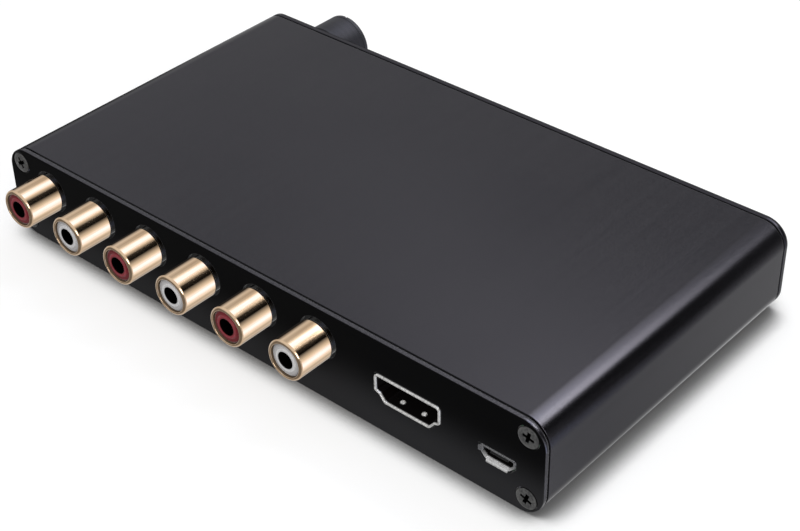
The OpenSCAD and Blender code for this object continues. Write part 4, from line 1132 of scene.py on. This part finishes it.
def lever_mesh():
    stem = rounded_box(-0.9, 0.9, -1.78, 2.3, -0.9, 0.9, 0.22, 3)
    slider = rounded_box(-2.2, 2.2, PLATE_T + 0.6, PLATE_T + 3.8, -1.6, 1.6, 0.15)
    ridges = [rounded_box(x - 0.16, x + 0.16, -1.95, -1.6, -0.8, 0.8, 0.08) for x in (-0.55, 0.0, 0.55)]
    return joined([stem, slider] + ridges)


piece("lever", lever_mesh(), lever_skin, "switch_lever", ["mode_switch_lever"],
      (SWITCH_X, FRONT_Y, SWITCH_Z), 180.0)


def light_mesh(x):
    """A lamp's resin: a dome on a tube with a flange behind the plate."""
    r, flange_r = LIGHT_R, LIGHT_R + 0.4
    dome = [(r * math.sin(math.radians(a)), 0.6 - r * math.cos(math.radians(a))) for a in range(12, 91, 6)]
    tube = [(r, PLATE_T), (flange_r, PLATE_T), (flange_r, PLATE_T + 1.0), (r, PLATE_T + 1.0), (r, 3.8),
            (r - 0.15, 3.9), (0.0, 3.9)]
    return revolved([(0.0, -0.9)] + dome + tube, 48, closed=False, axis_x=-x)


piece("lights", joined([light_mesh(x) for x in LIGHT_X]), lamp_resin, "case", ["status_lights"],
      (0.0, FRONT_Y, LIGHT_Z), 180.0, sharp=50)


def optical_block(corner, hole, y0, y1, edge):
    return slab([rectangle(OPTICAL_W, 0.0, OPTICAL_H, corner), hole], y0, y1, edge)


def optical_mesh():
    """A frame, a room for the shutter, a wall with the light's hole and a tail open below."""
    half = OPTICAL_W / 2
    room_w, passage_foot = 6.2, 2.2
    arch = [(-half, 0.0), (-2.22, 0.0), (-2.22, 7.42), (2.22, 7.42), (2.22, 0.0), (half, 0.0),
            (half, OPTICAL_H), (-half, OPTICAL_H)]
    return joined([
        optical_block(0.35, rectangle(room_w, passage_foot, 8.2, 0.15), 0.0, OPTICAL_FRAME_T, 0.12),
        optical_block(0.2, rectangle(room_w, passage_foot, 9.25, 0.1), OPTICAL_FRAME_T, OPTICAL_ROOM_D, HIDDEN_EDGE),
        optical_block(0.2, circle(0.0, 5.2, 1.25, 40), OPTICAL_ROOM_D, OPTICAL_WALL_D, HIDDEN_EDGE),
        slab([arch], OPTICAL_WALL_D, OPTICAL_D, 0.05)])


def shutter_mesh():
    """A leaf with two ribs, hung by its rolled upper edge from two pins."""
    leaf = rounded_box(-3.0, 3.0, 0.6, 1.4, 2.3, SHUTTER_PIVOT[2], 0.1)
    roll = revolved([(0.0, -3.0), (0.4, -3.0), (0.4, 3.0), (0.0, 3.0)], 24, closed=False)
    pins = revolved([(0.0, -3.9), (0.3, -3.9), (0.35, -3.85), (0.35, 3.85), (0.3, 3.9), (0.0, 3.9)], 24,
                    closed=False)
    for mesh in (roll, pins):
        mesh.transform(Matrix.Translation(SHUTTER_PIVOT) @ Matrix.Rotation(math.pi / 2, 4, "Z"))
    ribs = [rounded_box(-2.6, 2.6, 0.5, 0.75, z, z + 0.35, 0.06) for z in (3.0, 7.2)]
    return joined([leaf, roll, pins] + ribs)


piece("optical_box", optical_mesh(), black_plastic, "case", ["optical_socket"],
      (OPTICAL_X, FRONT_Y, BOARD_TOP), 180.0)
piece("optical_flap", shutter_mesh(), shutter_skin, "shutter", ["optical_shutter"],
      (OPTICAL_X, FRONT_Y, BOARD_TOP), 180.0)

# ------------------------------------------------- carried-over inner nodes

INNER_FINISHES = {
    "circuit_board": board_skin, "jack_contacts": bore_bronze, "video_output_contacts": contact_leaf,
    "video_input_contacts": contact_leaf, "power_socket_contacts": contact_leaf,
    "potentiometer_shaft": shaft_steel, "potentiometer_body": pot_skin, "headphone_contacts": contact_leaf,
    "mode_switch_frame": frame_metal, "light_leads": tin, "optical_emitter": emitter_resin,
    "video_chip": chip_resin, "audio_chip": chip_resin, "converter_chips": chip_resin,
    "memory_chip": chip_resin, "voltage_regulators": chip_resin, "crystals": can_metal,
    "capacitors": can_metal, "power_inductor": ferrite_skin}
INNER_FINISHES.update({f"jack_housing_{i}": black_plastic for i in range(1, 7)})
for node, finish in INNER_FINISHES.items():
    for slot in frame["nodes"][node].material_slots:
        slot.material = finish

# The bright barrels mirror the studio alone: only pieces whose names start like this show in mirror images
MIRRORED = ("rear_screw", "front_screw", "knob", "lever", "lights", "headphone", "optical")
for o in bpy.data.objects:
    if o.type == "MESH" and not o.name.startswith(MIRRORED):
        o.visible_glossy = False

bpy.context.scene.view_settings.view_transform = "Standard"
